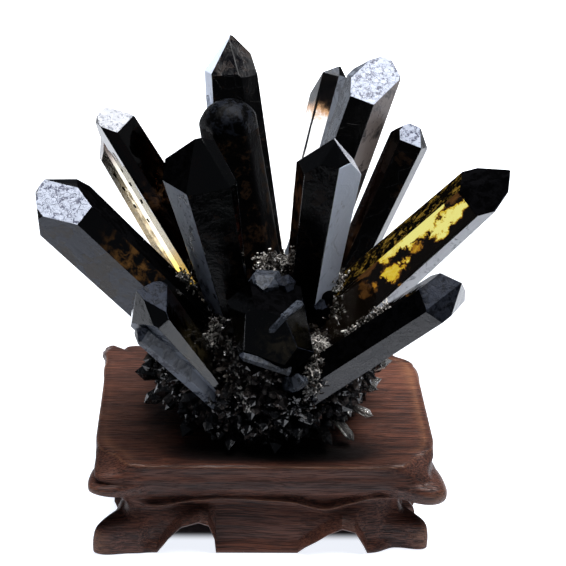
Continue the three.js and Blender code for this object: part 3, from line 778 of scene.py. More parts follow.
def amber_core(name):
    """The dark smoky heart of the amber crystal: the crystal's own faces, drawn in by a skin of clear quartz.

    Each prism face comes in by 0.7 mm and each end face by 1 mm.
    """
    work = whole_crystal(dict(AMBER, sides=[side - 0.7 for side in AMBER["sides"]],
                              ends=[end + 1.0 for end in AMBER["ends"]]))
    bmesh.ops.bevel(work, geom=work.edges[:], offset=0.0006, offset_type="OFFSET", segments=2, affect="EDGES")
    work.normal_update()
    return cut_object(name, work)


def amber_heart_material():
    """Near-black smoke with torn golden windows whose glow is painted: an emission standing in for the light from
    behind.
    """
    material, graph, shader, position = new_material("smoke with painted golden glow")
    root, tip = place(*AMBER["root"]), place(*AMBER["tip"])
    axis = (tip - root) / np.linalg.norm(tip - root)
    front = AMBER_FRONT - axis * (AMBER_FRONT @ axis)
    front /= np.linalg.norm(front)
    rise = np.cross(front, axis)
    rise *= np.sign(rise[2])
    torn = graph.add("ShaderNodeTexNoise", {"Vector": position, "Scale": 330.0, "Detail": 5.0, "Roughness": 0.68})
    drift = graph.vector("SUBTRACT", torn.outputs["Color"], (0.5, 0.5, 0.5))
    warped = graph.vector("ADD", position, graph.scaled(drift, 0.0042))
    window_glow = -1.0
    for along_0, rise_0, along_1, rise_1, width, warmth in GOLD_WINDOWS:
        start, end = (root + (along * axis + up * rise + AMBER_DEPTH * front) * MM
                      for along, up in ((along_0, rise_0), (along_1, rise_1)))
        window = use_group(graph, "Painted glow window", Position=warped, Start=tuple(start), End=tuple(end),
                           Half_width=width * MM, Axis=tuple(axis))["Amount"]
        window_glow = graph.math("MAXIMUM", window_glow, graph.minus(graph.times(window, warmth + 1.0), 1.0))
    streaks = graph.noise(graph.streaked(warped, tuple(axis), 0.7), 1100.0, 3.0, 0.6)
    glow_level = graph.plus(window_glow, graph.swing(streaks, 0.8))
    # Painted glow: the windows' emission colour, stepping from dark brown to pale gold.
    shine = (0.002, 0.0012, 0.0006, 1)
    for cool, hot, colour in PAINTED_GLOW_STEPS:
        shine = graph.mix(graph.step(glow_level, cool, hot), shine, colour)
    graph.set(shader, Emission_Color=shine, Emission_Strength=1.0, Base_Color=(0.002, 0.0016, 0.0015, 1),
              Roughness=0.6, Specular_IOR_Level=0.0)
    return material


# ---------------------------------------------------------------- druse

MOUND_CENTRE = np.array([-1.5, 1.5, 60.0])
MOUND_RADII = np.array([37.0, 35.0, 30.0])
MOUND_FLOOR = 37.1  # where the druse rests on the stand, in mm

# Larger points round the rim of the druse: foot and tip in mm, radius, and shade from dark to pale.
RIM_POINTS = (
    (-33, -3, 53, -47.5, -6, 53.5, 3.2, 0.05), (-34, -8, 49, -44, -13, 44.5, 2.4, 0.55),
    (-31, -5, 55, -45, -9, 58, 2.2, 0.1), (-33, 2, 50, -47, 3, 48, 2.6, 0.05),
    (32, -2, 52, 45.5, 0.5, 55.5, 2.3, 0.7), (30, -9, 50, 41, -7, 52, 2.2, 1.0), (33, 4, 50, 45, 8, 50, 2.4, 0.2),
    (18, -15, 49, 30, -29, 39.5, 1.9, 1.0), (21, -13, 49, 37, -22, 45.5, 1.5, 0.9),
    (14, -18, 48, 22, -33, 40, 2.2, 0.5), (-11, -18, 49, -14, -36, 39.5, 2.2, 0.1),
    (2, -19, 49, 2, -36, 38.5, 2.4, 0.15), (-22, -15, 49, -30, -28, 40, 2.3, 0.1),
    (8, -20, 52, 10, -37.5, 45, 2.3, 0.3), (-6, -20, 53, -8, -37, 47, 2.1, 0.15),
    (27, -8, 53, 39, -15, 52, 1.8, 0.95),
    (-16, -18, 52, -22, -34, 46, 2.0, 0.4), (20, -18, 54, 29, -29, 52, 2.4, 0.25),
    (0, 33, 52, 2, 48, 50, 2.6, 0.1), (-18, 28, 50, -27, 42, 46, 2.4, 0.3), (17, 28, 50, 26, 42, 47, 2.5, 0.2),
    (-28, 16, 52, -42, 24, 50, 2.5, 0.1), (29, 15, 52, 42, 22, 49, 2.4, 0.5), (6, 31, 47, 9, 45, 40, 2.2, 0.6),
)

# Patches of fine pale points: two ends in mm, spread in mm and how many.
CRUST_PATCHES = (
    ((-17.5, -18.5, 80.5), (-21.5, -22.5, 74), 1.4, 900),
    ((15.5, -21.5, 76), (15.5, -38.5, 75), 1.5, 900), ((14.5, -39.0, 73), (13.5, -40.0, 66), 1.2, 620),
    ((-3, -8.2, 97.5), (5, -8.0, 97.0), 1.6, 900), ((24.0, -8.5, 93), (22.5, -18, 84), 1.7, 950),
    ((-31.5, -6.5, 91), (-29, -8, 88), 1.5, 340), ((-23, -25, 72), (-22, -29, 64), 1.2, 260),
    ((6, -7, 98), (9, -12, 92), 1.4, 240), ((27, -16, 80), (33, -20, 76), 1.6, 340),
    ((23.8, -34.8, 84.6), (37.5, -38.9, 98.4), 0.45, 110), ((-14.7, -26.5, 78), (-9.2, -32.5, 57), 0.9, 260),
    ((-4, 18, 88), (6, 26, 84), 2.2, 260), ((-22, 10, 84), (-12, 18, 86), 2.2, 200),
    ((16, 16, 86), (24, 8, 82), 2.0, 200),
)

# Dark points that close over the roots of the two low crystals: start and end in mm, spread, number.
ROOT_COVERS = (
    ((7.0, -33.2, 54.5), (11.5, -36.4, 61.0), 1.6, 85), ((-14.5, -28.5, 51.5), (-18.5, -31.6, 58.0), 1.7, 80),
)


def mound_surface(direction, inset):
    """Point of the druse's ellipsoid in a direction, pulled in by inset and roughened by lattice noise."""
    direction = direction / np.linalg.norm(direction, axis=-1, keepdims=True)
    base = MOUND_CENTRE + direction * (MOUND_RADII - inset)
    bump = value_noise(base, 7.0, 3) * 1.2 + value_noise(base, 2.6, 4) * 0.7
    return base + direction * bump[..., None]


def druse_rock(name):
    """The rock that the small crystals cover: the ellipsoid cut off flat where it rests."""
    tilt, turn = np.meshgrid(np.linspace(0, np.pi, 150), np.linspace(0, 2 * np.pi, 300, endpoint=False),
                             indexing="ij")
    direction = np.stack([np.sin(tilt) * np.cos(turn), np.sin(tilt) * np.sin(turn), np.cos(tilt)], -1)
    points = mound_surface(direction, 1.6)
    points[..., 2] = np.maximum(points[..., 2], MOUND_FLOOR)
    top, foot = points[0].mean(0), points[-1].mean(0)
    return closed_skin(name, (points[1:-1] + SHIFT) * MM, (top + SHIFT) * MM, (foot + SHIFT) * MM)


def small_crystals(name, foot, way, radius, length, spin, shade, taper=0.85, slant=1.1):
    """Many six-sided points in one mesh.

    Each is a ring of six at the foot, a ring of six at the shoulder and an apex, carried from its foot along
    its way: foot + way * height + radius * (cos, sin of the turn) across it.
    """
    way = way / np.linalg.norm(way, axis=1, keepdims=True)
    helper = np.where(np.abs(way[:, 2:3]) < 0.9, [[0, 0, 1.0]], [[1.0, 0, 0]])
    across = np.cross(helper, way)
    across /= np.linalg.norm(across, axis=1, keepdims=True)
    up = np.cross(way, across)
    turn = spin[:, None] + np.arange(6) * np.pi / 3
    uneven = 1 + 0.16 * np.sin(turn * 2 + spin[:, None] * 5)
    circle = np.cos(turn)[..., None] * across[:, None] + np.sin(turn)[..., None] * up[:, None]
    circle = circle * (radius[:, None] * uneven)[..., None]
    drop = 0.25 * radius[:, None] * np.sin(turn + spin[:, None] * 3)
    shoulder = (length - radius * slant)[:, None] + drop
    low = foot[:, None] + circle * taper
    high = foot[:, None] + circle + way[:, None] * shoulder[..., None]
    apex = foot + way * length[:, None]
    points = np.concatenate([low, high, apex[:, None]], 1)
    count, each = points.shape[:2]
    ring = np.arange(6)
    ahead = (ring + 1) % 6
    sides = np.stack([ring, ahead, ahead + 6, ring + 6], -1)
    tips = np.stack([ring + 6, ahead + 6, np.full(6, 12)], -1)
    feet = np.array([[0, 2, 1], [0, 3, 2], [0, 4, 3], [0, 5, 4]])
    base = (np.arange(count) * each)[:, None, None]
    quads = (base + sides).reshape(-1, 4)
    triangles = np.concatenate([(base + tips).reshape(-1, 3), (base + feet).reshape(-1, 3)])
    piece = new_mesh(name, (points.reshape(-1, 3) + SHIFT) * MM, quads, triangles, smooth=False)
    set_attribute(piece, "shade", np.repeat(shade, each))
    return piece


def clear_of_axes(points, margin):
    """True where a point is further than margin from every large crystal's axis. In mm."""
    free = np.ones(len(points), bool)
    for look in CRYSTALS.values():
        root, tip = np.array(look["root"], float), np.array(look["tip"], float)
        along = tip - root
        part = np.clip(((points - root) @ along) / (along @ along), 0, 1)
        free &= np.linalg.norm(points - (root + part[:, None] * along), axis=1) > margin
    return free


def patch_points(rng, patches):
    """Feet and ways of the fine points that creep up between the large crystals, patch by patch."""
    feet, ways = [], []
    for start, end, spread, count in patches:
        start, end = np.array(start, float), np.array(end, float)
        share = rng.uniform(0, 1, (count, 1))
        feet.append(start + (end - start) * share + rng.normal(0, spread, (count, 3)))
        ways.append(np.array([0.0, -0.7, 0.6]) + rng.normal(0, 0.6, (count, 3)))
    return np.concatenate(feet), np.concatenate(ways)


def scattered(rng, count, low, high, margin):
    """Random feet on the druse between two heights of its unit sphere, clear of the large crystals."""
    height = rng.uniform(low, high, count)
    turn = rng.uniform(0, 2 * np.pi, count)
    level = np.sqrt(1 - height**2)
    direction = np.stack([level * np.cos(turn), level * np.sin(turn), height], -1)
    foot = mound_surface(direction, 2.4)
    keep = (foot[:, 2] > MOUND_FLOOR + 1.2) & clear_of_axes(foot, margin)
    normal = direction / MOUND_RADII
    normal /= np.linalg.norm(normal, axis=1, keepdims=True)
    return foot[keep], normal[keep]


# ---------------------------------------------------------------- stand

STAND_TOP = 36.8
HALF_WIDTH, HALF_DEPTH, CORNER = 58.0, 38.5, 12.0
# Thickness of the wall, height of the hollow's ceiling, and the height below which the profile yields to the arches.
WALL, CEILING, APRON = 8.0, 20.0, 18.0
RIGHT_TRIM = 4.0  # how much less the lower part reaches out beside the front right corner
# Height and overhang on the sides, height and overhang at the corners, squareness of the corners.
PROFILE = np.array([
    [36.8, 0.0, 36.8, -5.2, 1.9],
    [36.2, 0.9, 36.0, -3.8, 2.0],
    [34.8, 1.0, 34.2, -1.8, 2.3],
    [32.4, 0.9, 32.2, -0.2, 2.8],
    [30.4, 1.4, 30.2, 1.6, 2.9],
    [28.9, 1.8, 29.2, 5.2, 2.6],
    [27.6, 2.0, 27.8, 7.4, 2.4],
    [25.2, 1.7, 25.2, 7.9, 2.4],
    [23.6, 1.0, 23.2, 6.4, 2.4],
    [22.2, -0.2, 22.0, 1.5, 2.5],
    [20.6, -0.7, 20.8, -5.0, 2.6],
    [18.2, -0.8, 18.6, -7.4, 2.6],
    [15.8, -0.2, 15.6, -7.4, 2.6],
    [13.2, 0.7, 13.2, -5.0, 2.8],
    [11.2, 1.3, 12.0, 0.5, 3.0],
    [9.4, 1.8, 10.6, 4.2, 3.4],
    [5.6, 2.4, 6.6, 5.4, 3.8],
    [1.0, 2.6, 1.0, 5.6, 3.8],
    [0.0, 2.0, 0.0, 4.6, 3.6],
])
PLATE_FRONT, PLATE_BACK, PLATE_LEFT = 2.4, 6.8, 1.5  # how much further the top plate reaches on three sides
SIDE_RECESS, PLATE_RECESS = 7.0, 1.6  # how far the apron and the underplate stand back on the short sides
# Heights between which those recesses, the ear and the plate's overhang come in.
LOW_RECESS, HIGH_RECESS, EAR_RISE, PLATE_RISE = (23.8, 20.8), (34.0, 31.0), (30.5, 33.5), (24.0, 32.0)
CORNER_SHARE = 0.2  # how much of the corner's shape the end of a straight side has
# The pointed ear at the plate's back left corner: turn in degrees and how much further out.
EAR = np.array([[0, 0], [15, 1.0], [30, 0.2], [37, 0.2], [44, 6.4], [54, 5.2], [65, 4.8], [80, 3.2], [90, 1.2]])
# Swellings, each an amount in mm, where its middle is and how wide it is.
# At heights of the front corners, outward: the plate, waist and knob. Upward: the knobs moved down and up.
LEFT_PLATE, LEFT_WAIST, RIGHT_KNOB = (3.2, 32.0, 2.2), (4.0, 19.6, 3.2), (1.0, 25.5, 3.0)
RIGHT_KNOB_DROP, LEFT_KNOB_LIFT, LEFT_KNOB_SINK = (-1.8, 24.5, 4.0), (1.8, 23.4, 2.6), (-0.4, 30.0, 1.2)
# At heights over the carved line, and over the arches.
BEAD, HOLLOW, ROLLED_EDGE = (1.3, 0.0, 1.0), (-1.3, 2.5, 1.3), (1.5, 1.6, 1.1)
# Wear, as an amount from 0 to 1: at rows of the profile, at heights over the carved line; and painted shade on the
# front fascia, as a negative amount at heights.
RIM_WEAR, KNOB_WEAR, SHOE_WEAR = (0.7, 0.6, 0.7), (0.8, 6.3, 1.4), (0.9, 16.2, 1.6)
BEAD_WEAR, FASCIA_PAINTED_SHADE = (0.7, 0.0, 1.3), (-0.5, 29.0, 3.0)
PANEL_DEPTH = 2.1  # how deep the panels under the carved line are
LONG_ARCHES = np.array([
    [-38.5, 0], [-34.5, 6], [-30, 11], [-24, 13], [-20.5, 11.5], [-18.4, 6], [-17.8, 0],
    [11, 0], [14, 2.8], [17.4, 5], [21.4, 8], [26.4, 10.4], [31, 9], [34.2, 3.4], [35.8, 0],
])
SHORT_ARCH = np.array([[-17, 0], [-14, 6], [-8, 10.4], [0, 11.6], [8, 10.4], [14, 6], [17, 0]])
# Carved line over the arches: distance along the side and height.
APRON_LINE = np.array([
    [-58, 17], [-46, 18.5], [-41, 18.4], [-34, 19], [-28.8, 20.3], [-21.8, 21.2], [-13.2, 21.7], [-1, 20.9],
    [9.5, 19.9], [15.5, 18.2], [20.5, 17.6], [25.3, 18.6], [30.5, 20.2], [35.7, 22], [42.6, 22.8], [58, 24],
])


def through_points(at, knots, values):
    """A smooth curve through the knots: Hermite pieces whose slopes are the mean of their neighbours'."""
    slope = np.gradient(values, knots)
    i = np.clip(np.searchsorted(knots, at, side="right") - 1, 0, len(knots) - 2)
    gap = knots[i + 1] - knots[i]
    t = (at - knots[i]) / gap
    return ((2 * t**3 - 3 * t**2 + 1) * values[i] + (t**3 - 2 * t**2 + t) * gap * slope[i]
            + (-2 * t**3 + 3 * t**2) * values[i + 1] + (t**3 - t**2) * gap * slope[i + 1])


def stand_stations():
    """Stations round the outline as an array: side, distance along, arch, corner weight, trim, turn, half."""
    rows = []
    for side in range(4):
        long = side % 2 == 0
        half = (HALF_WIDTH if long else HALF_DEPTH) - CORNER
        arches = LONG_ARCHES if long else SHORT_ARCH
        along = np.unique(np.concatenate([np.arange(-half, half, 0.42), arches[:, 0], [half]]).round(3))
        corner = CORNER_SHARE * hump(np.abs(along), half, 3.5)
        trim = hump(np.abs(along), half, 5) * (along > 0) * (side == 0)
        arch = np.interp(along, arches[:, 0], arches[:, 1])
        rows.append(np.stack(np.broadcast_arrays(side, along, arch, corner, trim, 0, half), -1))
        turn = np.linspace(0, np.pi / 2, 40)[1:-1]
        corner = CORNER_SHARE + (1 - CORNER_SHARE) * np.sin(2 * turn) ** 1.2
        rows.append(np.stack(np.broadcast_arrays(side, half, 0, corner, side == 0, turn, half), -1))
    return np.concatenate(rows)


def outline(stations, reach, square, z):
    """Points in mm at the stations: reach out from the sides, and along superellipses round the corners."""
    side, along, turn = stations[:, 0], stations[:, 1], stations[:, 5]
    x = np.where(turn > 0, along + reach * np.sin(turn) ** (2 / square), along)
    y = np.where(side % 2 == 0, HALF_DEPTH, HALF_WIDTH) - CORNER + reach * np.cos(turn) ** (2 / square)
    angle = side * np.pi / 2
    return np.stack([x * np.cos(angle) + y * np.sin(angle), x * np.sin(angle) - y * np.cos(angle),
                     np.broadcast_to(z, x.shape)], -1)


def side_recess(side, turn):
    """1 where the stand faces left or right, falling to 0 round its corners."""
    facing = np.where(turn > 0, np.where(side % 2 == 1, np.cos(turn), np.sin(turn)), side % 2 == 1)
    return ramp(facing, 0.72, 0.92)


def outer_rings(stations):
    """The stand's rings from the plate's rim down to the feet, how worn they are, and the painted shade on the front
    fascia.

    At each station the profile's overhang moves the point out. Heights below the apron are squeezed up over
    the arches; a carved line and its hollow are pressed into the sides, and small irregularities of hand
    carving are added along the outward direction.
    """
    side, along, arch, corner, trim, turn, half = stations.T
    knots = np.arange(len(PROFILE), dtype=float)
    rows = np.unique(np.concatenate([np.linspace(0, len(PROFILE) - 1, 120), knots]).round(4))
    rim, over, corner_rim, corner_over, square = (
        through_points(rows, knots, PROFILE[:, k])[:, None] for k in range(5))
    z = rim + (corner_rim - rim) * corner
    front_right = (side == 0) * (along > 0) * corner
    front_left = (((side == 3) & (along > 0)) | ((side == 0) & (along < 0))) * corner
    z = z + front_right * swell(z, *RIGHT_KNOB_DROP)
    z = z + front_left * (swell(z, *LEFT_KNOB_LIFT) + swell(z, *LEFT_KNOB_SINK))
    height = np.where(z < APRON, arch + z * (APRON - arch) / APRON, z)
    out = over + (corner_over - over) * corner - np.where(z < APRON + 3, trim * RIGHT_TRIM, 0)
    low, under = ramp(z, *LOW_RECESS), ramp(z, *HIGH_RECESS)
    out = out - side_recess(side, turn) * (SIDE_RECESS * ease(low) + PLATE_RECESS * under * (1 - low))
    out = out + front_left * (swell(z, *LEFT_PLATE) + swell(z, *LEFT_WAIST)) + front_right * swell(z, *RIGHT_KNOB)
    ear = (side == 2) * (turn > 0) * ramp(z, *EAR_RISE)
    beside_ear = (side == 3) * (turn == 0) * hump(along, -half, 7) * ramp(z, *EAR_RISE)
    out = out + ear * np.interp(np.degrees(turn), EAR[:, 0], EAR[:, 1]) + beside_ear * EAR[-1, 1]
    square = square + ear * 2.0
    above_line = height - through_points(np.clip(along, -58, 58), APRON_LINE[:, 0], APRON_LINE[:, 1])
    above_arch = height - arch
    middle = np.where(turn > 0, 0, np.clip(1 - corner / CORNER_SHARE, 0, 1))
    straight = middle * np.where(side % 2 == 0, 1.0, 0.6)
    sunk = -PANEL_DEPTH / (1 + np.exp((above_line + 1.2) / 0.5)) * ramp(above_arch, 1.5, 4.5)
    carved = swell(above_line, *BEAD) + swell(above_line, *HOLLOW) + sunk
    out = out + carved * straight * (z < 33) + swell(above_arch, *ROLLED_EDGE) * ramp(arch, 0, 3) * (z < 12)
    points = outline(stations, CORNER + out, square, height)
    outward = np.stack([np.sin(side * np.pi / 2 + turn), -np.cos(side * np.pi / 2 + turn)], -1)
    dent = value_noise(points, 9.0, 21) * 0.22 + value_noise(points * [0.35, 1, 1], 2.2, 22) * 0.05
    dent = dent * ramp(height, STAND_TOP, STAND_TOP - 3) * ramp(height, 0, 2)
    points[..., :2] += outward * dent[..., None]
    plate = ease(ramp(height, *PLATE_RISE))
    further = np.where(points[..., 1] < 0, -PLATE_FRONT, PLATE_BACK)
    points[..., 1] += further * plate * ramp(np.abs(points[..., 1]), 0, 30)
    points[..., 0] -= PLATE_LEFT * plate * ramp(-points[..., 0], 0, 45)
    row = rows[:, None]
    wear_and_shade = swell(row, *RIM_WEAR) + swell(row, *KNOB_WEAR) * corner + swell(row, *SHOE_WEAR) * (0.25 + 0.75 * corner)
    wear_and_shade = np.clip(wear_and_shade + swell(above_line, *BEAD_WEAR) * straight, 0, 1)
    # Painted shade on the front fascia, as a negative amount added to the wear.
    return points, wear_and_shade + swell(height, *FASCIA_PAINTED_SHADE) * middle * (side == 0)


def top_rings(rim):
    """Rings that shrink from the plate's rim to its middle, and their wear and painted shade: worn at the rim,
    lighter at the front left corner and toward the right end, with a painted shadow in front of the druse.
    """
    share = np.linspace(0.02, 1, 28)[:-1]
    rings = rim * np.stack([share, share, np.ones_like(share)], -1)[:, None]
    fade = np.minimum(1, (1 - share) * 6)[:, None]
    rings[..., 2] += value_noise(rings * [0.3, 1, 1], 6.0, 31) * 0.05 * fade
    wear_and_shade = np.zeros(rings.shape[:2])
    wear_and_shade[-3:] = np.array([0.1, 0.25, 0.5])[:, None]
    x, y = rings[..., 0], rings[..., 1]
    # Painted shadow of the druse on the plate in front of it.
    shadow = np.exp(-(((x - 2) / 37) ** 4)) * hump(y, -33, 9.5)
    left_corner = hump(x, -58, 12) * hump(y, -38, 15)
    return rings, wear_and_shade - 1.35 * shadow + 0.4 * left_corner + 0.35 * ramp(x, 38, 58)


def carved_stand(name):
    """The stand's skin: rings carried round a rounded rectangle, over its top, down its sides and up inside it."""
    stations = stand_stations()
    side, arch, turn = stations[:, 0], stations[:, 2], stations[:, 5]
    outer, wear_and_shade = outer_rings(stations)
    top, top_wear_and_shade = top_rings(outer[0])
    inset = WALL + 0.8 * SIDE_RECESS * side_recess(side, turn)
    inner = outline(stations, CORNER - inset, 2.6, arch)
    ceiling = outline(stations, CORNER - inset - 1, 2.6, CEILING)
    soffit = [outer[-1] + (inner - outer[-1]) * share for share in (0.33, 0.66, 1)]
    walls = [inner + (ceiling - inner) * share for share in (0.33, 0.66, 1)]
    rings = np.concatenate([top, outer, soffit, walls])
    piece = closed_skin(name, (rings + SHIFT) * MM, place(0, 0, STAND_TOP), place(0, 0, CEILING))
    inside = np.zeros((len(soffit) + len(walls)) * len(stations) + 2)
    set_attribute(piece, "wear_and_shade", np.concatenate([top_wear_and_shade.ravel(), wear_and_shade.ravel(), inside]))
    return piece


# ---------------------------------------------------------------- settings


class QuartzSettings(bpy.types.PropertyGroup):
    smoke_colour: FloatVectorProperty(
        name="Smoke", description="Colour that the darkest quartz lets through", subtype="COLOR", size=3,
        default=(0.02, 0.015, 0.013), min=0, max=1)
    absorb_colour: FloatVectorProperty(
        name="Absorption", description="Colour that clear quartz keeps over a long way through it", subtype="COLOR",
        size=3, default=(0.5, 0.34, 0.22), min=0, max=1)
    density: FloatProperty(
        name="Absorption density", description="How fast light dies inside the crystals", default=520.0, min=0)
    edge_width: FloatProperty(
        name="Edge rounding", description="Width of the rounding on the crystals' edges", default=0.00018,
        min=0, unit="LENGTH")


class DruseSettings(bpy.types.PropertyGroup):
    skirt_count: IntProperty(
        name="Skirt points", description="Dark points round the foot of the druse", default=2600, min=0)
    crust_count: IntProperty(
        name="Crust points", description="Fine pale points between the large crystals", default=5000, min=0)
    rock_colour: FloatVectorProperty(
        name="Rock", description="Colour of the rock between the points", subtype="COLOR", size=3,
        default=(0.03, 0.022, 0.017), min=0, max=1)


class WoodSettings(bpy.types.PropertyGroup):
    # Also the colour that the painted shade on the plate and fascia darkens the wood to.
    dark: FloatVectorProperty(
        name="Dark grain", description="Colour of the pores and dark bands", subtype="COLOR", size=3,
        default=(0.012, 0.005, 0.0045), min=0, max=1)
    light: FloatVectorProperty(
        name="Light grain", description="Colour of the light bands", subtype="COLOR", size=3,
        default=(0.125, 0.046, 0.029), min=0, max=1)
    worn: FloatVectorProperty(
        name="Worn edges", description="Colour where the finish is rubbed through", subtype="COLOR", size=3,
        default=(0.17, 0.075, 0.04), min=0, max=1)


class StageSettings(bpy.types.PropertyGroup):
    key_power: FloatProperty(
        name="Overhead light", description="Power of the soft box over the object", default=44.0, min=0, unit="POWER")
    room_light: FloatProperty(
        name="Room light", description="Brightness of the pale walls low behind the object", default=0.3, min=0)
    floor_colour: FloatVectorProperty(
        name="Floor", description="Colour of the floor", subtype="COLOR", size=3, default=(0.5, 0.52, 0.56),
        min=0, max=1)
    floor_light: FloatProperty(
        name="Floor glow", description="Light that the floor gives off, as a light table does", default=0.7, min=0)


# ---------------------------------------------------------------- operators


class QUARTZ_OT_effects(bpy.types.Operator):
    """Build the shared material effects"""
    bl_idname = "quartz.effects"
    bl_label = "Shared effects"

    def execute(self, context):
        for build in (build_growth_group, build_smoke_group, build_glow_group, build_window_group,
                      build_frost_group, build_wood_group, build_grit_group):
            build()
        return {"FINISHED"}


class QUARTZ_OT_stand(bpy.types.Operator):
    """Build the carved wooden stand"""
    bl_idname = "quartz.stand"
    bl_label = "Carved stand"

    def execute(self, context):
        wood = context.scene.stand_wood
        material, graph, shader, position = new_material("Oiled dark wood")
        wear_and_shade = graph.add("ShaderNodeAttribute", attribute_name="wear_and_shade").outputs["Fac"]
        grain = use_group(graph, "Dark wood grain", Position=position, Wear=wear_and_shade, Dark=(*wood.dark, 1),
                          Light=(*wood.light, 1), Worn=(*wood.worn, 1))
        graph.set(shader, Base_Color=grain["Colour"], Roughness=grain["Roughness"], Specular_IOR_Level=0.22)
        add_bump(graph, shader, grain["Height"], 0.00012, 0.9)
        finish_piece(carved_stand("carved_stand"), material, "wooden_stand")
        return {"FINISHED"}


class QUARTZ_OT_crystals(bpy.types.Operator):
    """Build the large crystals"""
    bl_idname = "quartz.crystals"
    bl_label = "Large crystals"

    def execute(self, context):
        settings = context.scene.quartz_crystals
        finishes = [frost_material(*finish) for finish in FACE_FINISHES]
        for name, look in CRYSTALS.items():
            if name == "domed_crystal":
                piece = domed_piece(name, look)
            else:
                piece = crystal_piece(name, look, settings.edge_width)
            finish_piece(piece, quartz_material(name.replace("_", " "), look, settings), look["node"])
            if look.keys() & {"faces", "chips", "all"}:
                for finish in finishes:
                    piece.data.materials.append(finish)
            if "all" in look:
                top, level, body = look["all"]
                centres = np.empty(len(piece.data.polygons) * 3)
                piece.data.polygons.foreach_get("center", centres)
                piece.data.polygons.foreach_set("material_index", np.where(centres[2::3] > level * MM, top, body))
        for name, (root, tip, side, spin, body, end) in SHARDS.items():
            piece = shard_piece(name, root, tip, side, spin, settings.edge_width)
            finish_piece(piece, finishes[body - 1])
            piece.data.materials.append(finishes[end - 1])
        count = len(SPECKS)
        specks = small_crystals("honey_specks", np.array(SPECKS, float), np.tile([-0.5, -0.2, 0.85], (count, 1)),
                                np.full(count, 0.35), np.full(count, 1.8), np.arange(count) * 1.3, np.zeros(count))
        finish_piece(specks, finishes[SOOTY - 1])
        finish_piece(amber_core("amber_heart"), amber_heart_material())
        return {"FINISHED"}


def point_material(name, dark, light, transmission):
    """Glossy small quartz points; the shade stored on each point picks its place between dark and light."""
    material, graph, shader, position = new_material(name)
    shade = graph.add("ShaderNodeAttribute", attribute_name="shade").outputs["Fac"]
    dull = use_group(graph, "Sparkling grit", Position=position, Grain_size=0.0012,
                     Dark=(*(0.55 * np.array(dark)), 1), Light=(*dark, 1))
    pale = use_group(graph, "Sparkling grit", Position=position, Grain_size=0.0009,
                     Dark=(*(0.3 * np.array(light)), 1), Light=(*light, 1))
    graph.set(shader, Base_Color=graph.mix(graph.step(shade, 0.25, 1.0), dull["Colour"], pale["Colour"]),
              Roughness=0.07, IOR=QUARTZ_IOR, Transmission_Weight=transmission)
    add_bump(graph, shader, pale["Height"], 0.00006)
    return material


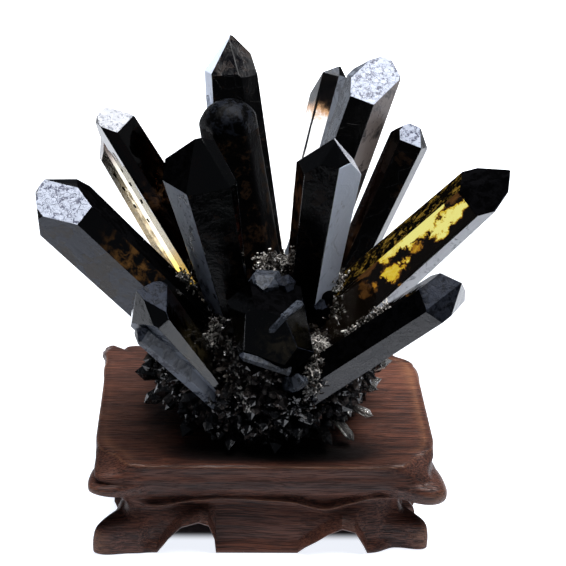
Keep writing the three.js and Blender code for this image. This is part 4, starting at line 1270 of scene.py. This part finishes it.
class QUARTZ_OT_druse(bpy.types.Operator):
    """Build the crust of small crystals"""
    bl_idname = "quartz.druse"
    bl_label = "Druse"

    def execute(self, context):
        settings = context.scene.quartz_druse
        rock, graph, shader, position = new_material("Druse rock")
        grit = use_group(graph, "Sparkling grit", Position=position, Grain_size=0.0007,
                         Dark=(*settings.rock_colour, 1), Light=(0.22, 0.17, 0.14, 1))
        graph.set(shader, Base_Color=grit["Colour"], Roughness=grit["Roughness"])
        add_bump(graph, shader, grit["Height"], 0.0004)
        finish_piece(druse_rock("druse_rock"), rock, "druse_matrix")
        # The order of the random draws below decides where each point stands.
        rng = np.random.default_rng(5)

        def turns(count):
            return rng.uniform(0, 6.3, count)

        def plant(name, material, *points, **form):
            finish_piece(small_crystals(name, *points, **form), material)

        dark = point_material("dark druse points", (0.006, 0.006, 0.007), (0.16, 0.13, 0.115), 0.0)
        foot, normal = scattered(rng, settings.skirt_count, -0.8, 0.12, 6.0)
        count = len(foot)
        way = normal + rng.normal(0, 0.45, normal.shape) + [0, 0, -0.15]
        radius = 0.35 + rng.gamma(2.0, 0.3, count)
        length = np.minimum(radius * rng.uniform(2.6, 6.0, count) + 1.8, 9.0)
        plant("druse_skirt", dark, foot, way, radius, length, turns(count), rng.uniform(0, 1, count) ** 1.7)

        pale = point_material("pale druse points", (0.02, 0.015, 0.012), (0.62, 0.55, 0.49), 0.0)
        # Near-white grains among dark ones: pale druse points with painted glints.
        painted_glints = point_material("druse points with painted glints", (0.02, 0.014, 0.01), (0.95, 0.9, 0.84), 0.0)
        foot, normal = scattered(rng, settings.crust_count, -0.1, 1.0, 5.0)
        count = len(foot)
        way = normal + rng.normal(0, 0.6, normal.shape)
        radius = 0.22 + rng.gamma(2.0, 0.2, count)
        length = radius * rng.uniform(1.6, 3.2, count) + 2.2
        shade = np.clip(0.25 + 0.6 * value_noise(foot, 9.0, 7) + rng.normal(0, 0.3, count), 0, 1)
        plant("druse_crust", pale, foot, way, radius, length, turns(count), shade)

        foot, way = patch_points(rng, CRUST_PATCHES)
        count = len(foot)
        radius = np.minimum(0.11 + rng.gamma(2.0, 0.085, count), 0.36)
        length = radius * rng.uniform(2.0, 5.0, count) + 0.9
        plant("druse_patches", painted_glints, foot, way, radius, length, turns(count), rng.uniform(-0.1, 1.2, count))

        clear = point_material("clear druse points", (0.55, 0.5, 0.45), (1, 0.97, 0.92), 1.0)
        foot, normal = scattered(rng, settings.skirt_count // 4, -0.75, 0.35, 5.0)
        kept = rng.uniform(0, 1, len(foot)) < 0.25 + 0.35 * np.clip(foot[:, 0] / 30, -0.6, 1)  # more on the right
        foot, normal = foot[kept], normal[kept]
        count = len(foot)
        way = normal + rng.normal(0, 0.45, normal.shape)
        radius = rng.uniform(0.35, 1.0, count)
        length = np.minimum(radius * rng.uniform(3, 7, count) + 2.4, 9.5)
        plant("druse_needles", clear, foot, way, radius, length, turns(count), rng.uniform(0, 1, count))

        rim = np.array(RIM_POINTS, float)
        turn = turns(len(rim))
        smoky = point_material("smoky rim points", (0.006, 0.006, 0.007), (0.42, 0.4, 0.38), 0.3)
        glassy = point_material("glassy rim points", (0.3, 0.28, 0.25), (1, 0.98, 0.94), 0.75)
        for name, chosen, material in (("rim_points", rim[:, 7] < 0.65, smoky),
                                       ("rim_needles", rim[:, 7] >= 0.65, glassy)):
            foot, way = rim[chosen, 0:3], rim[chosen, 3:6] - rim[chosen, 0:3]
            plant(name, material, foot, way, rim[chosen, 6], np.linalg.norm(way, axis=1), turn[chosen],
                  rim[chosen, 7], taper=1.0, slant=1.3)

        foot, way = patch_points(rng, ROOT_COVERS)
        count = len(foot)
        radius = rng.uniform(0.45, 1.1, count)
        length = radius * rng.uniform(2.2, 4.0, count) + 1.4
        plant("root_points", dark, foot, way, radius, length, turns(count), rng.uniform(0, 1, count) ** 1.7)
        return {"FINISHED"}


# The floor's front edge and its other edges, in m, and the glow's shade far off.
FLOOR_FRONT, FLOOR_REACH, FAR_GLOW = -0.115, 3.0, (2, 2, 2, 1)
# The soft box over the object: size and place in m, turn in degrees.
BOX_SIZE, BOX_POINT, BOX_TURN = (1.05, 0.83), (0.22, 0.08, 1.15), -14
# Where the camera stands in mm, its turn, rise and tilt in degrees, its focal length and the picture's width in
# pixels.
CAMERA_POINT, CAMERA_ANGLES, FOCAL_LENGTH, PICTURE = (-20.184, -474.81, 318.398), (-3.0, 26.0, 2.0), 1500, 566


def pale_floor(settings):
    """A floor that glows a little, white far from the stand and dark inside its foot; near the stand it glows
    brighter, painted light that fills the stand's shadow.
    """
    near, far, front = -FLOOR_REACH, FLOOR_REACH, FLOOR_FRONT
    floor = new_mesh("floor", np.array([[near, front, 0], [far, front, 0], [far, far, 0], [near, far, 0]]),
                     [[0, 1, 2, 3]], smooth=False)
    material, graph, shader, position = new_material("Pale floor")
    beside = graph.vector("ABSOLUTE", graph.vector("SUBTRACT", position, tuple(SHIFT * MM)))
    beside = graph.vector("SUBTRACT", beside, (HALF_WIDTH * MM, HALF_DEPTH * MM, 1.0))
    parts = graph.add("ShaderNodeSeparateXYZ", {0: beside}).outputs
    clear_by = graph.math("MAXIMUM", parts["X"], parts["Y"])
    # Painted light: under and near the stand the floor glows 2.4 times as much, filling the stand's shadow.
    under = tuple(2.4 * share for share in settings.floor_colour)
    pale = graph.mix(graph.step(clear_by, 0.0, 0.05), (*under, 1), (*settings.floor_colour, 1))
    seen = graph.add("ShaderNodeLightPath").outputs["Is Camera Ray"]
    pale = graph.mix(graph.times(seen, graph.step(clear_by, 0.1, 0.5)), pale, FAR_GLOW)
    glow = graph.mix(graph.step(clear_by, -0.0105, -0.005), (0, 0, 0, 1), pale)
    graph.set(shader, Base_Color=(*settings.floor_colour, 1), Roughness=0.9, Specular_IOR_Level=0.1,
              Emission_Color=glow, Emission_Strength=settings.floor_light)
    floor.data.materials.append(material)
    return floor


def pale_room(settings):
    """A world that is white to look at and lights the object only from low behind it."""
    world = bpy.data.worlds.new("pale room")
    world.use_nodes = True
    graph = Graph(world.node_tree)
    way = graph.add("ShaderNodeTexCoord").outputs["Generated"]
    parts = graph.add("ShaderNodeSeparateXYZ", {0: way}).outputs
    low, behind = graph.rest(graph.step(parts["Z"], 0.0, 0.3)), graph.step(parts["Y"], -0.35, 0.2)
    room = graph.mix(graph.times(low, behind), (0.05, 0.055, 0.065, 1), (*[settings.room_light] * 3, 1))
    path = graph.add("ShaderNodeLightPath").outputs
    seen = graph.math("MAXIMUM", path["Is Camera Ray"], path["Is Transmission Ray"])
    graph.set(world.node_tree.nodes["Background"], Color=graph.mix(seen, room, (1, 1, 1, 1)))
    return world


def standing_camera():
    camera = bpy.data.cameras.new("camera")
    camera.sensor_width = 36.0
    camera.lens = FOCAL_LENGTH / PICTURE * camera.sensor_width
    camera.clip_start, camera.clip_end = 0.01, 20
    azimuth, elevation, roll = (math.radians(angle) for angle in CAMERA_ANGLES)
    back = np.array([math.sin(azimuth) * math.cos(elevation), -math.cos(azimuth) * math.cos(elevation),
                     math.sin(elevation)])
    right = np.cross(-back, [0, 0, 1])
    right /= np.linalg.norm(right)
    up = np.cross(right, -back)
    across = right * math.cos(roll) + up * math.sin(roll)
    upward = up * math.cos(roll) - right * math.sin(roll)
    turned = Matrix(np.stack([across, upward, back], 1).tolist()).to_4x4()
    turned.translation = place(*CAMERA_POINT)
    eye = linked_object("camera", camera)
    eye.matrix_world = turned
    return eye


class QUARTZ_OT_stage(bpy.types.Operator):
    """Set up the pale floor, the soft light and the camera"""
    bl_idname = "quartz.stage"
    bl_label = "Stage"

    def execute(self, context):
        scene = context.scene
        settings = scene.quartz_stage
        pale_floor(settings)
        light = bpy.data.lights.new("overhead soft box", "AREA")
        light.shape = "RECTANGLE"
        light.size, light.size_y = BOX_SIZE
        light.energy = settings.key_power
        lamp = linked_object("overhead soft box", light)
        lamp.location = BOX_POINT
        lamp.rotation_euler = (0, 0, math.radians(BOX_TURN))
        scene.world = pale_room(settings)
        scene.camera = standing_camera()
        scene.view_settings.view_transform = "Standard"
        return {"FINISHED"}


class QUARTZ_PT_panel(bpy.types.Panel):
    """Lists the pieces and their settings"""
    bl_label = "Quartz cluster"
    bl_idname = "QUARTZ_PT_panel"
    bl_space_type = "VIEW_3D"
    bl_region_type = "UI"
    bl_category = "Quartz"

    def draw(self, context):
        for operator, group in PIECES:
            box = self.layout.box()
            box.operator(operator.bl_idname)
            if group:
                settings = getattr(context.scene, group)
                for name in type(settings).__annotations__:
                    box.prop(settings, name)


PIECES = (
    (QUARTZ_OT_effects, None),
    (QUARTZ_OT_stage, "quartz_stage"),
    (QUARTZ_OT_stand, "stand_wood"),
    (QUARTZ_OT_druse, "quartz_druse"),
    (QUARTZ_OT_crystals, "quartz_crystals"),
)
GROUPS = {
    "quartz_crystals": QuartzSettings, "quartz_druse": DruseSettings, "stand_wood": WoodSettings,
    "quartz_stage": StageSettings,
}
CLASSES = (*GROUPS.values(), *(operator for operator, group in PIECES), QUARTZ_PT_panel)


def register():
    for cls in CLASSES:
        bpy.utils.register_class(cls)
    for name, group in GROUPS.items():
        setattr(bpy.types.Scene, name, PointerProperty(type=group))


def unregister():
    for name in GROUPS:
        delattr(bpy.types.Scene, name)
    for cls in reversed(CLASSES):
        bpy.utils.unregister_class(cls)


def main():
    register()
    for operator, group in PIECES:
        family, action = operator.bl_idname.split(".")
        getattr(getattr(bpy.ops, family), action)()


if __name__ == "__main__":
    main()
